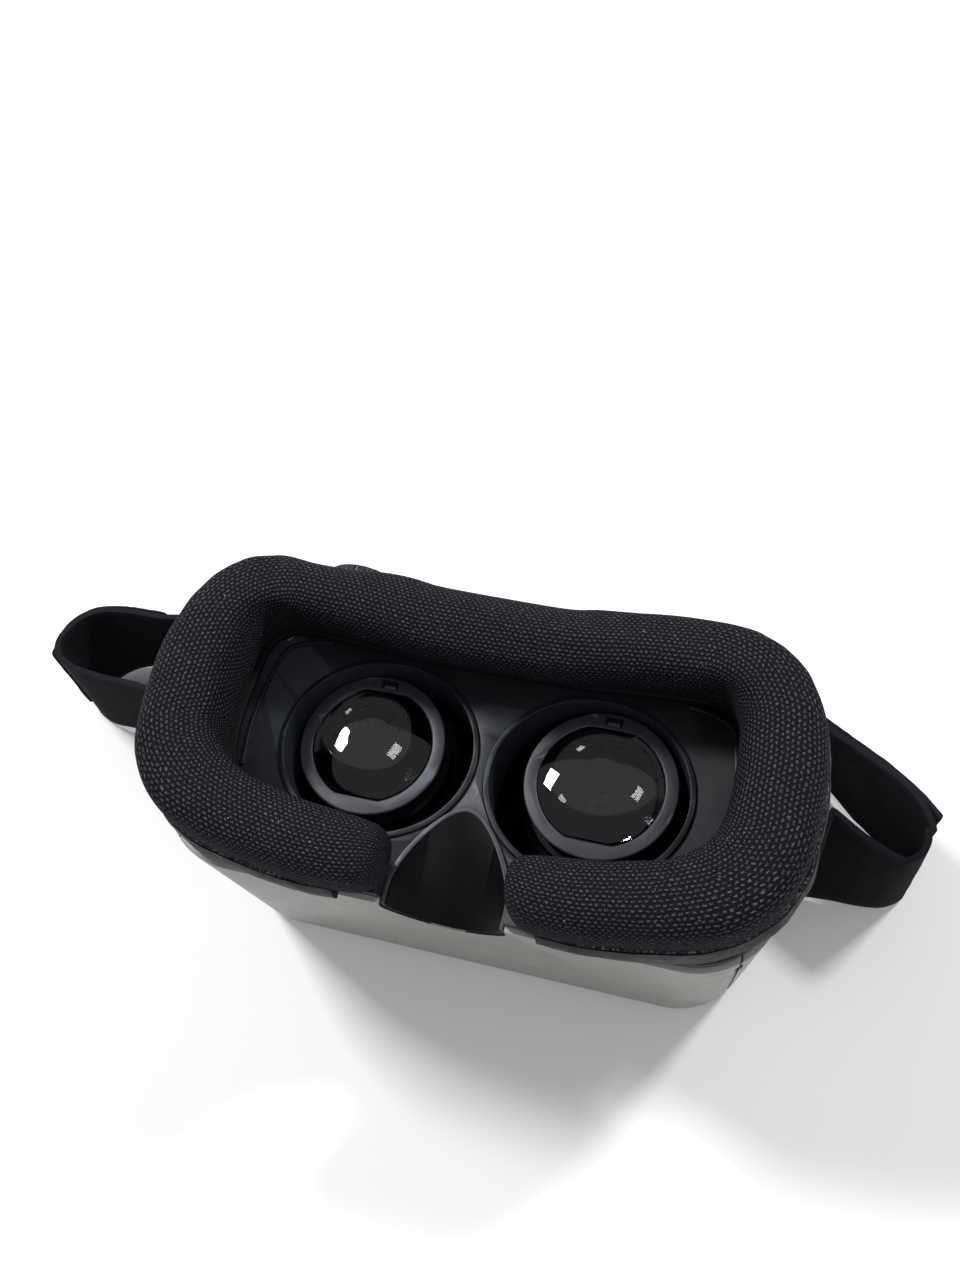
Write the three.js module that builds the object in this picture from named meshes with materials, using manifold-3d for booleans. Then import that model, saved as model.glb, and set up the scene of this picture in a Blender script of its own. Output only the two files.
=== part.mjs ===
// Goggles with a hinged front door, a sprung phone clamp and two focusing lens barrels.
// Millimetres, +Z up. The goggles lie on their front: the origin is the middle of the door's outer
// face, +Z runs towards the wearer's face, +Y towards the forehead and +X to the wearer's right.
import * as THREE from 'three';
import { mergeVertices } from 'three/addons/utils/BufferGeometryUtils.js';
import Module from 'manifold-3d';

const wasm = await Module();
wasm.setup();

// Driving dimensions
const GAP = 0.3;                 // air between pieces that rest on each other
const RUN = 0.06;                // radial clearance of a shaft in its hole
const LONG = 400;                // longer than anything in the goggles

const SHELL = { halfX: 80, low: -41.5, high: 41, corner: 22, fillet: 6, wall: 2.2, rear: 72 };
const FLARE = { x: 0.05, y: 0.052 };   // how much wider the shell is at its rear rim than at its front
const PANEL_X = 75.6;            // seam between the main shell and a side panel
const BULKHEAD = { inner: 72.6, low: 7, high: 66 };
const DOOR = { margin: 7.6, play: 0.5, thick: 2.4 };
const HINGE = { y: 36.6, z: 3.4, barrel: 3, pin: 1, half: 60.4, knuckleEnd: 69, cornerRoom: 1 };

const EYE = { x: 29.8, y: -1, halfX: 27, halfY: 24.9, wall: 1.6, low: 51, high: 70.8 };
const FRAME = { plateLow: 68, plateHigh: 70.2, rimHigh: 76 };
const LENS_X = { left: -33.5, right: 32.6 };
const LENS_Y = 1.4;
const FOCUS_SHIFT = { left: -1.6, right: 1.6 };   // where each barrel stands between its stops
const BARREL = { outer: 19, inner: 16.6, seat: 15.2, low: 34, seatHigh: 60.6, high: 64.2 };
const SLEEVE = { inner: 19.3, outer: 20.8, low: 42.5, high: 54 };
const LENS = { radius: 16.3, edgeLow: 61.8, edgeHigh: 63.8, dome: 3.9, back: 5.2 };
const RING = { outer: 21, low: 64.5, high: 66.1, flat: 15.3, bore: 16 };

const ROD = { radius: 1.5, z: 46, highY: 36, lowY: -34 };
const CARRIAGE = { low: 44.5, high: 47.5, plate: 23, sleeve: 3 };
const PINION = { x: 52, z: 60, pitch: 5, teeth: 10, low: 28, high: 32, shaft: 1.5 };
const RACK = { back: 42.4, low: 27.6, high: 31.6, bottom: 34, top: 65, armStart: 36, addendum: 0.7, dedendum: 1.2 };
const KNOB = { radius: 12, low: 45.2, high: 53.6, flutes: 20 };

const SCREEN_PLATE = { low: 18, high: 20.4 };
const PHONE = { seat: 7, fixedJaw: -30.4, movingJaw: 26, jaw: 2, top: 15.4, travel: 5 };
const STRAP = { low: 2.6, high: 38.6, thick: 2.4 };
const ANCHOR = { base: 82.7, plate: 1.8, bar: 89.8, end: 92, radius: 1.5, y: 5, z: 20 };

const CLOTH = { colour: 0x25262b, roughness: 0.95, metalness: 0 };
const BLACK = { colour: 0x1b1d22, roughness: 0.5, metalness: 0 };
const PALE = { colour: 0x8f908b, roughness: 0.42, metalness: 0 };
const STEEL = { colour: 0xa7a9ac, roughness: 0.3, metalness: 1 };
const FOAM = { colour: 0x303237, roughness: 0.9, metalness: 0 };
const CLEAR = { colour: 0xdde6ea, roughness: 0.05, metalness: 0 };

const SIDES = [['left', -1], ['right', 1]];
const group = new THREE.Group();

// Solids: a closed three.js geometry becomes a manifold, so it can be joined and cut.
function solid(geometry) {
  const bare = geometry.index ? geometry.toNonIndexed() : geometry.clone();
  bare.deleteAttribute('normal');
  bare.deleteAttribute('uv');
  const merged = mergeVertices(bare, 1e-4);
  return new wasm.Manifold(new wasm.Mesh({
    numProp: 3,
    vertProperties: Float32Array.from(merged.attributes.position.array),
    triVerts: Uint32Array.from(merged.index.array),
  }));
}

function add(name, shape, look, parent = group) {
  const mesh = shape.getMesh();
  const geometry = new THREE.BufferGeometry();
  geometry.setAttribute('position', new THREE.BufferAttribute(mesh.vertProperties, 3));
  geometry.setIndex(new THREE.BufferAttribute(mesh.triVerts, 1));
  const { colour, roughness, metalness } = look;
  const material = new THREE.MeshStandardMaterial({ color: colour, roughness, metalness });
  const piece = new THREE.Mesh(geometry, material);
  piece.name = name;
  parent.add(piece);
  return piece;
}

const join = (first, ...others) => others.reduce((sum, other) => sum.add(other), first);
const cut = (first, ...others) => others.reduce((sum, other) => sum.subtract(other), first);

function block([x0, x1], [y0, y1], [z0, z1]) {
  const box = new THREE.BoxGeometry(Math.abs(x1 - x0), y1 - y0, z1 - z0);
  return solid(box.translate((x0 + x1) / 2, (y0 + y1) / 2, (z0 + z1) / 2));
}

// A round bar along x, y or z between two stations, centred on the other two coordinates.
function bar(axis, radius, [from, to], [a, b], sides = 20) {
  const round = new THREE.CylinderGeometry(radius, radius, to - from, sides);
  const middle = (from + to) / 2;
  if (axis === 'x') round.rotateZ(-Math.PI / 2).translate(middle, a, b);
  if (axis === 'y') round.translate(a, middle, b);
  if (axis === 'z') round.rotateX(Math.PI / 2).translate(a, b, middle);
  return solid(round);
}

function prism(shape, [low, high], curveSegments = 5) {
  const body = new THREE.ExtrudeGeometry(shape, {
    depth: high - low, bevelEnabled: false, curveSegments,
  });
  return solid(body.translate(0, 0, low));
}

// The housing's outline: a rectangle with round corners, pulled in by inset.
function outline(inset) {
  const x = SHELL.halfX - inset;
  const low = SHELL.low + inset;
  const high = SHELL.high - inset;
  const r = Math.max(SHELL.corner - inset, 4);
  const shape = new THREE.Shape();
  shape.absarc(x - r, high - r, r, 0, Math.PI / 2);
  shape.absarc(-x + r, high - r, r, Math.PI / 2, Math.PI);
  shape.absarc(-x + r, low + r, r, Math.PI, Math.PI * 1.5);
  shape.absarc(x - r, low + r, r, Math.PI * 1.5, Math.PI * 2);
  shape.closePath();
  return shape;
}

// The housing grows evenly from the front to the rear rim.
function flare(geometry) {
  const p = geometry.attributes.position;
  for (let i = 0; i < p.count; i += 1) {
    const t = Math.max(p.getZ(i), 0) / SHELL.rear;
    p.setX(i, p.getX(i) * (1 + FLARE.x * t));
    p.setY(i, p.getY(i) * (1 + FLARE.y * t));
  }
  return geometry;
}

function flaredPrism(inset, [low, high]) {
  const body = new THREE.ExtrudeGeometry(outline(inset), {
    depth: high - low, bevelEnabled: false, curveSegments: 5,
  });
  return solid(flare(body.translate(0, 0, low)));
}

// The nose notch is an arch that slopes down towards the chin side.
const NOSE = { apex: -19, half: 13.6, foot: -60, slope: 2.1, top: 78, thick: 3, low: 54, high: 71.5 };
function noseWedge(grow, [low, high]) {
  const half = NOSE.half + grow;
  const apex = NOSE.apex + grow;
  const arch = new THREE.Shape();
  arch.moveTo(-half, NOSE.foot);
  arch.lineTo(-half, apex - 23);
  arch.bezierCurveTo(-half, apex - 16, -half * 0.4, apex - 0.8, 0, apex);
  arch.bezierCurveTo(half * 0.4, apex - 0.8, half, apex - 16, half, apex - 23);
  arch.lineTo(half, NOSE.foot);
  arch.closePath();
  const body = new THREE.ExtrudeGeometry(arch, {
    depth: high - low, bevelEnabled: false, curveSegments: 8,
  }).translate(0, 0, low);
  const p = body.attributes.position;
  for (let i = 0; i < p.count; i += 1) {
    p.setY(i, p.getY(i) - (FRAME.plateHigh - p.getZ(i)) * NOSE.slope);
  }
  return solid(body);
}

// Housing -------------------------------------------------------------------------------------
const rounded = new THREE.ExtrudeGeometry(outline(SHELL.fillet), {
  depth: SHELL.rear + 2 * SHELL.fillet, bevelThickness: SHELL.fillet, bevelSize: SHELL.fillet,
  bevelSegments: 3, curveSegments: 5,
});
const hull = solid(flare(rounded.translate(0, 0, SHELL.fillet)))
  .intersect(block([-LONG, LONG], [-LONG, LONG], [-1, SHELL.rear]));
const cavity = flaredPrism(SHELL.wall, [BULKHEAD.low, LONG]);
const doorway = prism(outline(DOOR.margin - DOOR.play), [-1, BULKHEAD.low + 1]);
const walls = cut(hull, cavity, doorway);
const noseCut = noseWedge(NOSE.thick + GAP, [NOSE.low - 10, NOSE.top]);
const between = (x0, x1) => block([x0, x1], [-LONG, LONG], [-LONG, LONG]);

function bulkhead(side) {
  const slab = block(
    [side > 0 ? BULKHEAD.inner : -PANEL_X, side > 0 ? PANEL_X : -BULKHEAD.inner],
    [SHELL.low, SHELL.high], [BULKHEAD.low - 1, BULKHEAD.high],
  );
  return slab.intersect(hull);
}

function screwBoss(x, y) {
  const side = Math.sign(x);
  const inner = Math.min(x, side * (BULKHEAD.inner + 1));
  const outer = Math.max(x, side * (BULKHEAD.inner + 1));
  const web = block([inner, outer], [y - 2, y + 2], [SCREW.bossLow, SCREW.bossHigh]);
  return join(bar('z', 3.2, [SCREW.bossLow, SCREW.bossHigh], [x, y]), web);
}

const SCREW = { x: 66, y: 27, bossLow: 56, bossHigh: 67.6, shank: 1, head: 2.1, tip: 60, headHigh: 71.7 };
const screwPlaces = [[-1, -1], [1, -1], [-1, 1], [1, 1]].map(([a, b]) => [a * SCREW.x, b * SCREW.y]);
const screwHoles = screwPlaces.map((place) => bar('z', SCREW.shank + RUN, [SCREW.tip - 1, 80], place, 12));

const knobSlots = SIDES.map(([, side]) => {
  const inward = PINION.x - 6 - PINION.shaft;
  const outward = PINION.x + 2.6 + PINION.shaft;
  const span = side > 0 ? [inward, outward] : [-outward, -inward];
  const z = PINION.z;
  return block(span, [36, 48], [z - PINION.shaft - 0.6, z + PINION.shaft + 0.6]);
});
const rodPlaces = [ROD.highY, ROD.lowY];
const rodHoles = rodPlaces.map((y) => bar('x', ROD.radius + RUN, [-74.4, 74.4], [y, ROD.z]));

const knuckles = SIDES.map(([, side]) => {
  const span = side > 0 ? [HINGE.half + GAP * 2, HINGE.knuckleEnd] : [-HINGE.knuckleEnd, -HINGE.half - GAP * 2];
  const ear = join(
    bar('x', HINGE.barrel, span, [HINGE.y, HINGE.z]),
    block(span, [HINGE.y - 1, SHELL.high - 0.6], [HINGE.z, BULKHEAD.low + 1.5]),
  );
  return ear.intersect(hull);
});
const hingeNotch = block([-HINGE.half - 0.6, HINGE.half + 0.6], [32, 48], [-1, HINGE.z + HINGE.barrel + 0.9]);
const pinHole = bar('x', HINGE.pin + RUN, [-HINGE.knuckleEnd - 1, HINGE.knuckleEnd - 1.2], [HINGE.y, HINGE.z]);

const middleWalls = walls.intersect(between(-PANEL_X, PANEL_X));
const bosses = screwPlaces.map(([x, y]) => screwBoss(x, y));
const shellSolid = join(cut(middleWalls, hingeNotch), bulkhead(-1), bulkhead(1), ...knuckles, ...bosses);
const belowHinge = block([-BULKHEAD.inner, BULKHEAD.inner], [-LONG, HINGE.y - HINGE.barrel - GAP], [-LONG, LONG]);
add('main_shell', cut(shellSolid, noseCut, ...knobSlots, ...rodHoles, ...screwHoles, pinHole,
  doorway.intersect(belowHinge)), PALE);

const panelTop = flaredPrism(SHELL.wall, [BULKHEAD.high + GAP, LONG]);
for (const [name, side] of SIDES) {
  const beyond = side > 0 ? between(PANEL_X + GAP, LONG) : between(-LONG, -PANEL_X - GAP);
  add(`side_panel_${name}`, cut(hull.intersect(beyond), panelTop), PALE);
}

// Black frame behind the housing, with an eye opening and a collar for each barrel --------------
function eyeOutline(side, grow) {
  const shape = new THREE.Shape();
  shape.absellipse(side * EYE.x, EYE.y, EYE.halfX + grow, EYE.halfY + grow, 0, Math.PI * 2);
  return shape;
}
const frameRim = cut(
  flaredPrism(1.2, [SHELL.rear + GAP, FRAME.rimHigh]),
  flaredPrism(6.5, [SHELL.rear - 1, FRAME.rimHigh + 1]),
);
const frameSkirt = cut(
  flaredPrism(SHELL.wall + 0.4, [FRAME.plateLow, SHELL.rear + 1]),
  flaredPrism(6.5, [FRAME.plateHigh, SHELL.rear + 2]),
);
const framePlate = flaredPrism(SHELL.wall + 0.4, [FRAME.plateLow, FRAME.plateHigh]);
const eyeHoles = SIDES.map(([, side]) => prism(eyeOutline(side, EYE.wall + GAP),
  [FRAME.plateLow - 1, FRAME.rimHigh + 1], 9));
const frameSolid = join(frameRim, frameSkirt, framePlate);
add('optics_frame', cut(frameSolid, noseCut, ...eyeHoles, ...screwHoles), BLACK);
for (const [name, side] of SIDES) {
  const collar = prism(eyeOutline(side, EYE.wall), [EYE.low, EYE.high], 9);
  const opening = prism(eyeOutline(side, 0), [EYE.low - 1, EYE.high + 1], 9);
  add(`eye_collar_${name}`, cut(collar, opening, noseCut), BLACK);
}

const saddle = cut(
  noseWedge(NOSE.thick, [NOSE.low, NOSE.high]),
  noseWedge(0, [NOSE.low - 1, NOSE.high + 1]),
).intersect(flaredPrism(0.4, [NOSE.low - 1, NOSE.high + 1]));
add('nose_saddle', saddle, BLACK);

screwPlaces.forEach(([x, y], i) => {
  const head = bar('z', SCREW.head, [FRAME.plateHigh + GAP, SCREW.headHigh], [x, y], 16);
  const shank = bar('z', SCREW.shank, [SCREW.tip, FRAME.plateHigh + 1], [x, y], 12);
  add(`frame_screw_${i + 1}`, join(head, shank), STEEL);
});

// Screen frame, divider and guide rods ---------------------------------------------------------
const windows = SIDES.map(([, side]) => {
  const span = side > 0 ? [5, 64] : [-64, -5];
  return block(span, [-29, 29], [SCREEN_PLATE.low - 1, SCREEN_PLATE.high + 1]);
});
const screenBlank = flaredPrism(SHELL.wall + GAP, [SCREEN_PLATE.low, SCREEN_PLATE.high])
  .intersect(between(-BULKHEAD.inner + GAP, BULKHEAD.inner - GAP));
add('screen_frame', cut(screenBlank, ...windows), BLACK);
add('divider', block([-1, 1], [-30, 31.5], [SCREEN_PLATE.high + GAP, EYE.low - 1.5]), BLACK);
['upper', 'lower'].forEach((name, i) => {
  add(`guide_rod_${name}`, bar('x', ROD.radius, [-74, 74], [rodPlaces[i], ROD.z], 20), STEEL);
});

// Lens carriages, barrels, lenses and the rack-and-pinion focus ---------------------------------
const PITCH = 2 * Math.PI * PINION.pitch / PINION.teeth;

function rackSolid(shift) {
  const line = PINION.x - PINION.pitch;
  const shape = new THREE.Shape();
  shape.moveTo(RACK.back, RACK.bottom);
  shape.lineTo(line - RACK.dedendum, RACK.bottom);
  const first = Math.ceil((RACK.bottom + 12 - PINION.z) / PITCH);
  const last = Math.floor((RACK.top - 2 - PINION.z) / PITCH);
  for (let i = first; i <= last; i += 1) {
    const z = PINION.z + i * PITCH;
    shape.lineTo(line - RACK.dedendum, z - 1.18);
    shape.lineTo(line + RACK.addendum, z - 0.44);
    shape.lineTo(line + RACK.addendum, z + 0.44);
    shape.lineTo(line - RACK.dedendum, z + 1.18);
  }
  shape.lineTo(line - RACK.dedendum, RACK.top);
  shape.lineTo(RACK.back, RACK.top);
  shape.closePath();
  const teeth = new THREE.ExtrudeGeometry(shape, { depth: RACK.high - RACK.low, bevelEnabled: false });
  teeth.rotateX(Math.PI / 2).translate(0, RACK.high, 0);
  const arm = block([RACK.armStart, line - RACK.dedendum], [LENS_Y, RACK.high], [RACK.bottom, RACK.bottom + 3]);
  return join(solid(teeth), arm).translate([0, 0, shift]);
}

// The pinion's teeth stand in the rack's gaps: a gap faces the rack when the barrel is mid-travel.
function pinionSolid(side, turn) {
  const shape = new THREE.Shape();
  const root = PINION.pitch - RACK.dedendum;
  const tip = PINION.pitch + RACK.addendum;
  const step = 2 * Math.PI / PINION.teeth;
  for (let i = 0; i < PINION.teeth; i += 1) {
    const middle = (i + 0.5) * step;
    for (const [radius, offset] of [[root, -0.26], [PINION.pitch, -0.13], [tip, -0.05],
      [tip, 0.05], [PINION.pitch, 0.13], [root, 0.26]]) {
      const angle = Math.PI + middle + offset;
      const point = [radius * Math.cos(angle), radius * Math.sin(angle)];
      if (i === 0 && offset === -0.26) shape.moveTo(...point);
      else shape.lineTo(...point);
    }
  }
  shape.closePath();
  const wheel = new THREE.ExtrudeGeometry(shape, { depth: PINION.high - PINION.low, bevelEnabled: false });
  wheel.rotateX(Math.PI / 2).rotateY(turn).translate(PINION.x, PINION.high, PINION.z);
  const gear = solid(wheel);
  return side > 0 ? gear : gear.mirror([1, 0, 0]);
}

function carriageSolid(side) {
  const lensX = side > 0 ? LENS_X.right : -LENS_X.left;
  const centre = [lensX, LENS_Y];
  const bracketX = [PINION.x - 4, PINION.x + 4];
  const levels = [CARRIAGE.low, CARRIAGE.high];
  const sleeveSpans = [[[lensX - 8, bracketX[1]], ROD.highY], [[lensX - 8, lensX + 8], ROD.lowY]];
  const parts = [
    bar('z', CARRIAGE.plate, levels, centre, 32),
    bar('z', SLEEVE.outer, [SLEEVE.low, SLEEVE.high], centre, 32),
    block([lensX - 8, lensX + 6], [ROD.lowY, ROD.highY], levels),
    ...sleeveSpans.map(([span, y]) => bar('x', CARRIAGE.sleeve, span, [y, ROD.z], 20)),
    block(bracketX, [ROD.highY - 2.8, ROD.highY + 0.8], [ROD.z, PINION.z + 5]),
  ];
  const holes = [
    bar('z', SLEEVE.inner, [0, 80], centre, 32),
    ...rodPlaces.map((y) => bar('x', ROD.radius + RUN, [0, 70], [y, ROD.z], 20)),
    bar('y', PINION.shaft + RUN, [20, 50], [PINION.x, PINION.z], 20),
  ];
  const whole = cut(join(...parts), ...holes);
  return side > 0 ? whole : whole.mirror([1, 0, 0]);
}

function barrelSolid(name, side) {
  const lensX = side > 0 ? LENS_X.right : -LENS_X.left;
  const shift = FOCUS_SHIFT[name];
  const centre = [lensX, LENS_Y];
  const body = join(
    bar('z', BARREL.outer, [BARREL.low, BARREL.high], centre, 32),
    bar('z', RING.outer - 0.6, [BARREL.high - 3, BARREL.high], centre, 32),
  );
  const holes = [
    bar('z', BARREL.seat, [0, 80], centre, 32),
    bar('z', BARREL.inner, [BARREL.seatHigh, 80], centre, 32),
    bar('z', BARREL.inner, [0, BARREL.seatHigh - 2], centre, 32),
  ];
  const bores = holes.map((hole) => hole.translate([0, 0, shift]));
  const whole = cut(join(body.translate([0, 0, shift]), rackSolid(shift)), ...bores);
  return side > 0 ? whole : whole.mirror([1, 0, 0]);
}

function lensSolid() {
  const steps = 5;
  const radii = Array.from({ length: steps + 1 }, (_, i) => LENS.radius * i / steps);
  const sag = (r) => 1 - (r / LENS.radius) ** 2;
  const back = radii.map((r) => new THREE.Vector2(r, LENS.edgeLow - LENS.back * sag(r)));
  const face = radii.map((r) => new THREE.Vector2(r, LENS.edgeHigh + LENS.dome * sag(r)));
  const points = [...back, ...face.reverse()];
  return solid(new THREE.LatheGeometry(points, 28).rotateX(Math.PI / 2));
}

function ringSolid() {
  const bore = bar('z', RING.bore, [60, 70], [0, 0], 32)
    .intersect(block([-LONG, LONG], [-RING.flat, RING.flat], [0, LONG]));
  const bezel = join(
    bar('z', RING.outer, [RING.low, RING.high - 0.5], [0, 0], 32),
    bar('z', RING.outer - 0.6, [RING.low, RING.high], [0, 0], 32),
  );
  const latch = block([-2.4, 2.4], [16.8, 19.2], [RING.high - 1, LONG]);
  return cut(bezel, bore, latch);
}

function knobSolid() {
  const shape = new THREE.Shape();
  for (let i = 0; i < KNOB.flutes * 2; i += 1) {
    const angle = i * Math.PI / KNOB.flutes;
    const radius = KNOB.radius - (i % 2 ? 0.5 : 0);
    const point = [radius * Math.cos(angle), radius * Math.sin(angle)];
    if (i) shape.lineTo(...point);
    else shape.moveTo(...point);
  }
  shape.closePath();
  const body = new THREE.ExtrudeGeometry(shape, {
    depth: KNOB.high - KNOB.low - 1.2, bevelThickness: 0.6, bevelSize: 0.6, bevelOffset: -0.6, bevelSegments: 2,
  });
  body.rotateX(Math.PI / 2).translate(0, KNOB.high - 0.6, 0);
  return solid(body);
}

for (const [name, side] of SIDES) {
  const lensX = LENS_X[name];
  const shift = FOCUS_SHIFT[name];
  const turn = -shift / PINION.pitch;
  add(`carriage_${name}`, carriageSolid(side), BLACK);
  add(`barrel_${name}`, barrelSolid(name, side), BLACK);
  add(`lens_${name}`, lensSolid(), CLEAR).position.set(lensX, LENS_Y, shift);
  add(`lens_ring_${name}`, ringSolid(), BLACK).position.set(lensX, LENS_Y, shift);
  const shaft = bar('y', PINION.shaft, [PINION.low - 1, KNOB.high - 3], [side * PINION.x, PINION.z], 20);
  const socket = bar('y', PINION.shaft + RUN, [KNOB.low - 4, KNOB.high - 2.8], [0, 0], 20);
  add(`focus_shaft_${name}`, join(shaft, pinionSolid(side, turn)), STEEL);
  add(`focus_knob_${name}`, cut(knobSolid(), socket), BLACK).position.set(side * PINION.x, 0, PINION.z);
}

// Front door with its hinge, and the sprung clamp that holds a phone ------------------------------
const doorPlate = prism(outline(DOOR.margin), [0, DOOR.thick]);
const barrelSpan = [-HINGE.half, HINGE.half];
const swingRoom = doorPlate.translate([0, -HINGE.cornerRoom, 0]);
const door = join(
  doorPlate.intersect(swingRoom).intersect(block([-LONG, LONG], [-LONG, HINGE.y - 4], [-1, 10])),
  bar('x', HINGE.barrel, barrelSpan, [HINGE.y, HINGE.z], 24),
  block(barrelSpan, [HINGE.y - 8, HINGE.y], [HINGE.z - HINGE.barrel, HINGE.z - 0.4]),
);
add('front_door', cut(door, bar('x', HINGE.pin + RUN, [-80, 80], [HINGE.y, HINGE.z], 16)), PALE);
add('hinge_pin', bar('x', HINGE.pin, [-HINGE.knuckleEnd + 0.4, HINGE.knuckleEnd - 1.6],
  [HINGE.y, HINGE.z], 16), STEEL);

const floor = DOOR.thick + GAP;
const jawFoot = [PHONE.fixedJaw - PHONE.jaw, PHONE.fixedJaw];
add('phone_ledge', join(
  block([-46, 46], jawFoot, [floor, PHONE.top]),
  block([-46, 46], [PHONE.fixedJaw - 1, PHONE.fixedJaw + 5], [floor, floor + 1.5]),
  ...[-1, 1].map((s) => block([s * 36 - 7, s * 36 + 7], [PHONE.fixedJaw - 1, PHONE.fixedJaw + 2.5],
    [PHONE.top - 1.4, PHONE.top])),
), BLACK);

const springPost = -20;
const plateEnd = -3;
add('phone_clamp', join(
  block([-40, 40], [PHONE.movingJaw, PHONE.movingJaw + PHONE.jaw], [floor + 0.3, PHONE.top]),
  block([-18, 18], [plateEnd, PHONE.movingJaw + 1], [floor + 0.3, floor + 2]),
  ...[-1, 1].map((s) => block([s * 30 - 7, s * 30 + 7], [PHONE.movingJaw - 2.5, PHONE.movingJaw + 1],
    [PHONE.top - 1.4, PHONE.top])),
  ...[-1, 1].map((s) => block([s * 11 - 2, s * 11 + 2], [plateEnd, plateEnd + 2], [floor + 1, PHONE.seat - 0.6])),
), BLACK);
for (const [name, side] of SIDES) {
  const railX = side > 0 ? [18.4, 21.4] : [-21.4, -18.4];
  const capX = side > 0 ? [16.4, 21.4] : [-21.4, -16.4];
  add(`clamp_rail_${name}`, join(
    block(railX, [-14, 24], [floor, floor + 3.8]),
    block(capX, [4, 24], [floor + 2.4, floor + 3.8]),
  ), BLACK);
  add(`spring_post_${name}`, join(
    block([side * 11 - 2, side * 11 + 2], [springPost - 2, springPost], [floor, PHONE.seat - 0.6]),
    block([side * 11 - 3.5, side * 11 + 3.5], [springPost - 5, springPost], [floor, floor + 1]),
  ), BLACK);
}

class Coil extends THREE.Curve {
  constructor(radius, length, turns) {
    super();
    Object.assign(this, { radius, length, turns });
  }

  getPoint(t, target = new THREE.Vector3()) {
    const angle = 2 * Math.PI * this.turns * t;
    return target.set(this.radius * Math.cos(angle), this.length * t, this.radius * Math.sin(angle));
  }
}

function springSolid() {
  const wire = new THREE.Shape();
  wire.absarc(0, 0, 0.3, 0, Math.PI * 2);
  const room = 0.7;
  const length = plateEnd - springPost - 2 * room;
  const coil = new THREE.ExtrudeGeometry(wire, {
    steps: 48, curveSegments: 2, bevelEnabled: false, extrudePath: new Coil(1.1, length, 6),
  });
  return solid(coil).translate([0, springPost + room, 0]);
}
SIDES.forEach(([name, side]) => {
  add(`clamp_spring_${name}`, springSolid(), STEEL).position.set(side * 11, 0, floor + 2.3);
});
[[-34, -16], [34, -16], [-34, 14], [34, 14]].forEach(([x, y], i) => {
  add(`phone_pad_${i + 1}`, block([x - 8, x + 8], [y - 5, y + 5], [floor, PHONE.seat]), FOAM);
});

// Face cushion: a soft C open at the nose, on a base ring, with a leather skirt round it ------------
const cushionOuter = [[19.4, -42], [23.1, -45.8], [37, -46], [55.6, -43.4], [70, -40], [79.4, -32.6], [85.4, -21],
  [86.6, -10], [87.2, 7.8], [82.3, 27.4], [68.6, 39.8], [45.7, 41.6], [20.4, 39.2]];
const cushionInner = [[22.1, 21.6], [43.2, 24], [58, 24], [63.4, 20], [64.6, 7.4], [64.6, -4.9], [61, -17.8],
  [52, -23.4], [40.9, -25.4], [26, -26.6], [16.3, -28]];

function smoothSide(points, side) {
  const curve = new THREE.CatmullRomCurve3(points.map(([x, y]) => new THREE.Vector3(side * x, y, 0)));
  return curve.getPoints(Math.round(points.length * 1.6));
}

function cushionOutline(inset) {
  const pull = (points, amount) => points.map(([x, y]) => {
    const reach = Math.hypot(x, y);
    return [x - amount * x / reach, y - amount * y / reach];
  });
  const outerRight = smoothSide(pull(cushionOuter, inset), 1);
  const outerLeft = smoothSide(pull(cushionOuter, inset), -1).reverse();
  const innerLeft = smoothSide(pull(cushionInner, -inset), -1);
  const innerRight = smoothSide(pull(cushionInner, -inset), 1).reverse();
  const round = [...outerRight, ...outerLeft, ...innerLeft.reverse(), ...innerRight.reverse()];
  return new THREE.Shape(round.map((p) => new THREE.Vector2(p.x, p.y)));
}

const CUSHION = { low: 78.6, high: 98, rise: 8, bevel: 5 };
const SKIRT = { low: 77, high: 89 };
const cushionBody = new THREE.ExtrudeGeometry(cushionOutline(1.4 + CUSHION.bevel), {
  depth: CUSHION.high - CUSHION.low - 2 * CUSHION.bevel, bevelThickness: CUSHION.bevel,
  bevelSize: CUSHION.bevel, bevelSegments: 2,
});
cushionBody.translate(0, 0, CUSHION.low + CUSHION.bevel);
function archUp(geometry, low, high) {
  const p = geometry.attributes.position;
  for (let i = 0; i < p.count; i += 1) {
    const share = (p.getZ(i) - low) / (high - low);
    p.setZ(i, p.getZ(i) + share * CUSHION.rise * (p.getX(i) / SHELL.halfX) ** 2);
  }
  return geometry;
}
const cushionRoom = prism(cushionOutline(1), [0, LONG]);
add('face_cushion', solid(archUp(cushionBody, CUSHION.low, CUSHION.high)).intersect(cushionRoom), CLOTH);
add('cushion_base', prism(cushionOutline(3), [FRAME.rimHigh + GAP, CUSHION.low - GAP]), BLACK);

function skirtBand(grow) {
  return solid(archUp(new THREE.ExtrudeGeometry(cushionOutline(-grow), {
    depth: SKIRT.high - SKIRT.low, bevelEnabled: false,
  }).translate(0, 0, SKIRT.low), SKIRT.low, SKIRT.high + 10));
}
const skirt = cut(skirtBand(0.9), prism(cushionOutline(0.7), [0, LONG]), block([-27, 27], [-60, -20], [0, 200]),
  flaredPrism(11, [SKIRT.low - 1, 140]));
add('cushion_skirt', skirt, CLOTH);

// Head strap: one broad band that stands on its edge, from one anchor round the back to the other ----
function ribbon(points, thick, [low, high], samples) {
  const knots = points.map(([x, y]) => new THREE.Vector3(x, y, 0));
  const middle = new THREE.CatmullRomCurve3(knots, false, 'centripetal').getSpacedPoints(samples);
  const along = middle.map((p, i) => middle[Math.min(i + 1, samples)].clone()
    .sub(middle[Math.max(i - 1, 0)]).normalize());
  const edge = (side) => middle.map((p, i) => new THREE.Vector2(
    p.x - side * along[i].y * thick / 2, p.y + side * along[i].x * thick / 2));
  return prism(new THREE.Shape([...edge(1), ...edge(-1).reverse()]), [low, high]);
}

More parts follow.
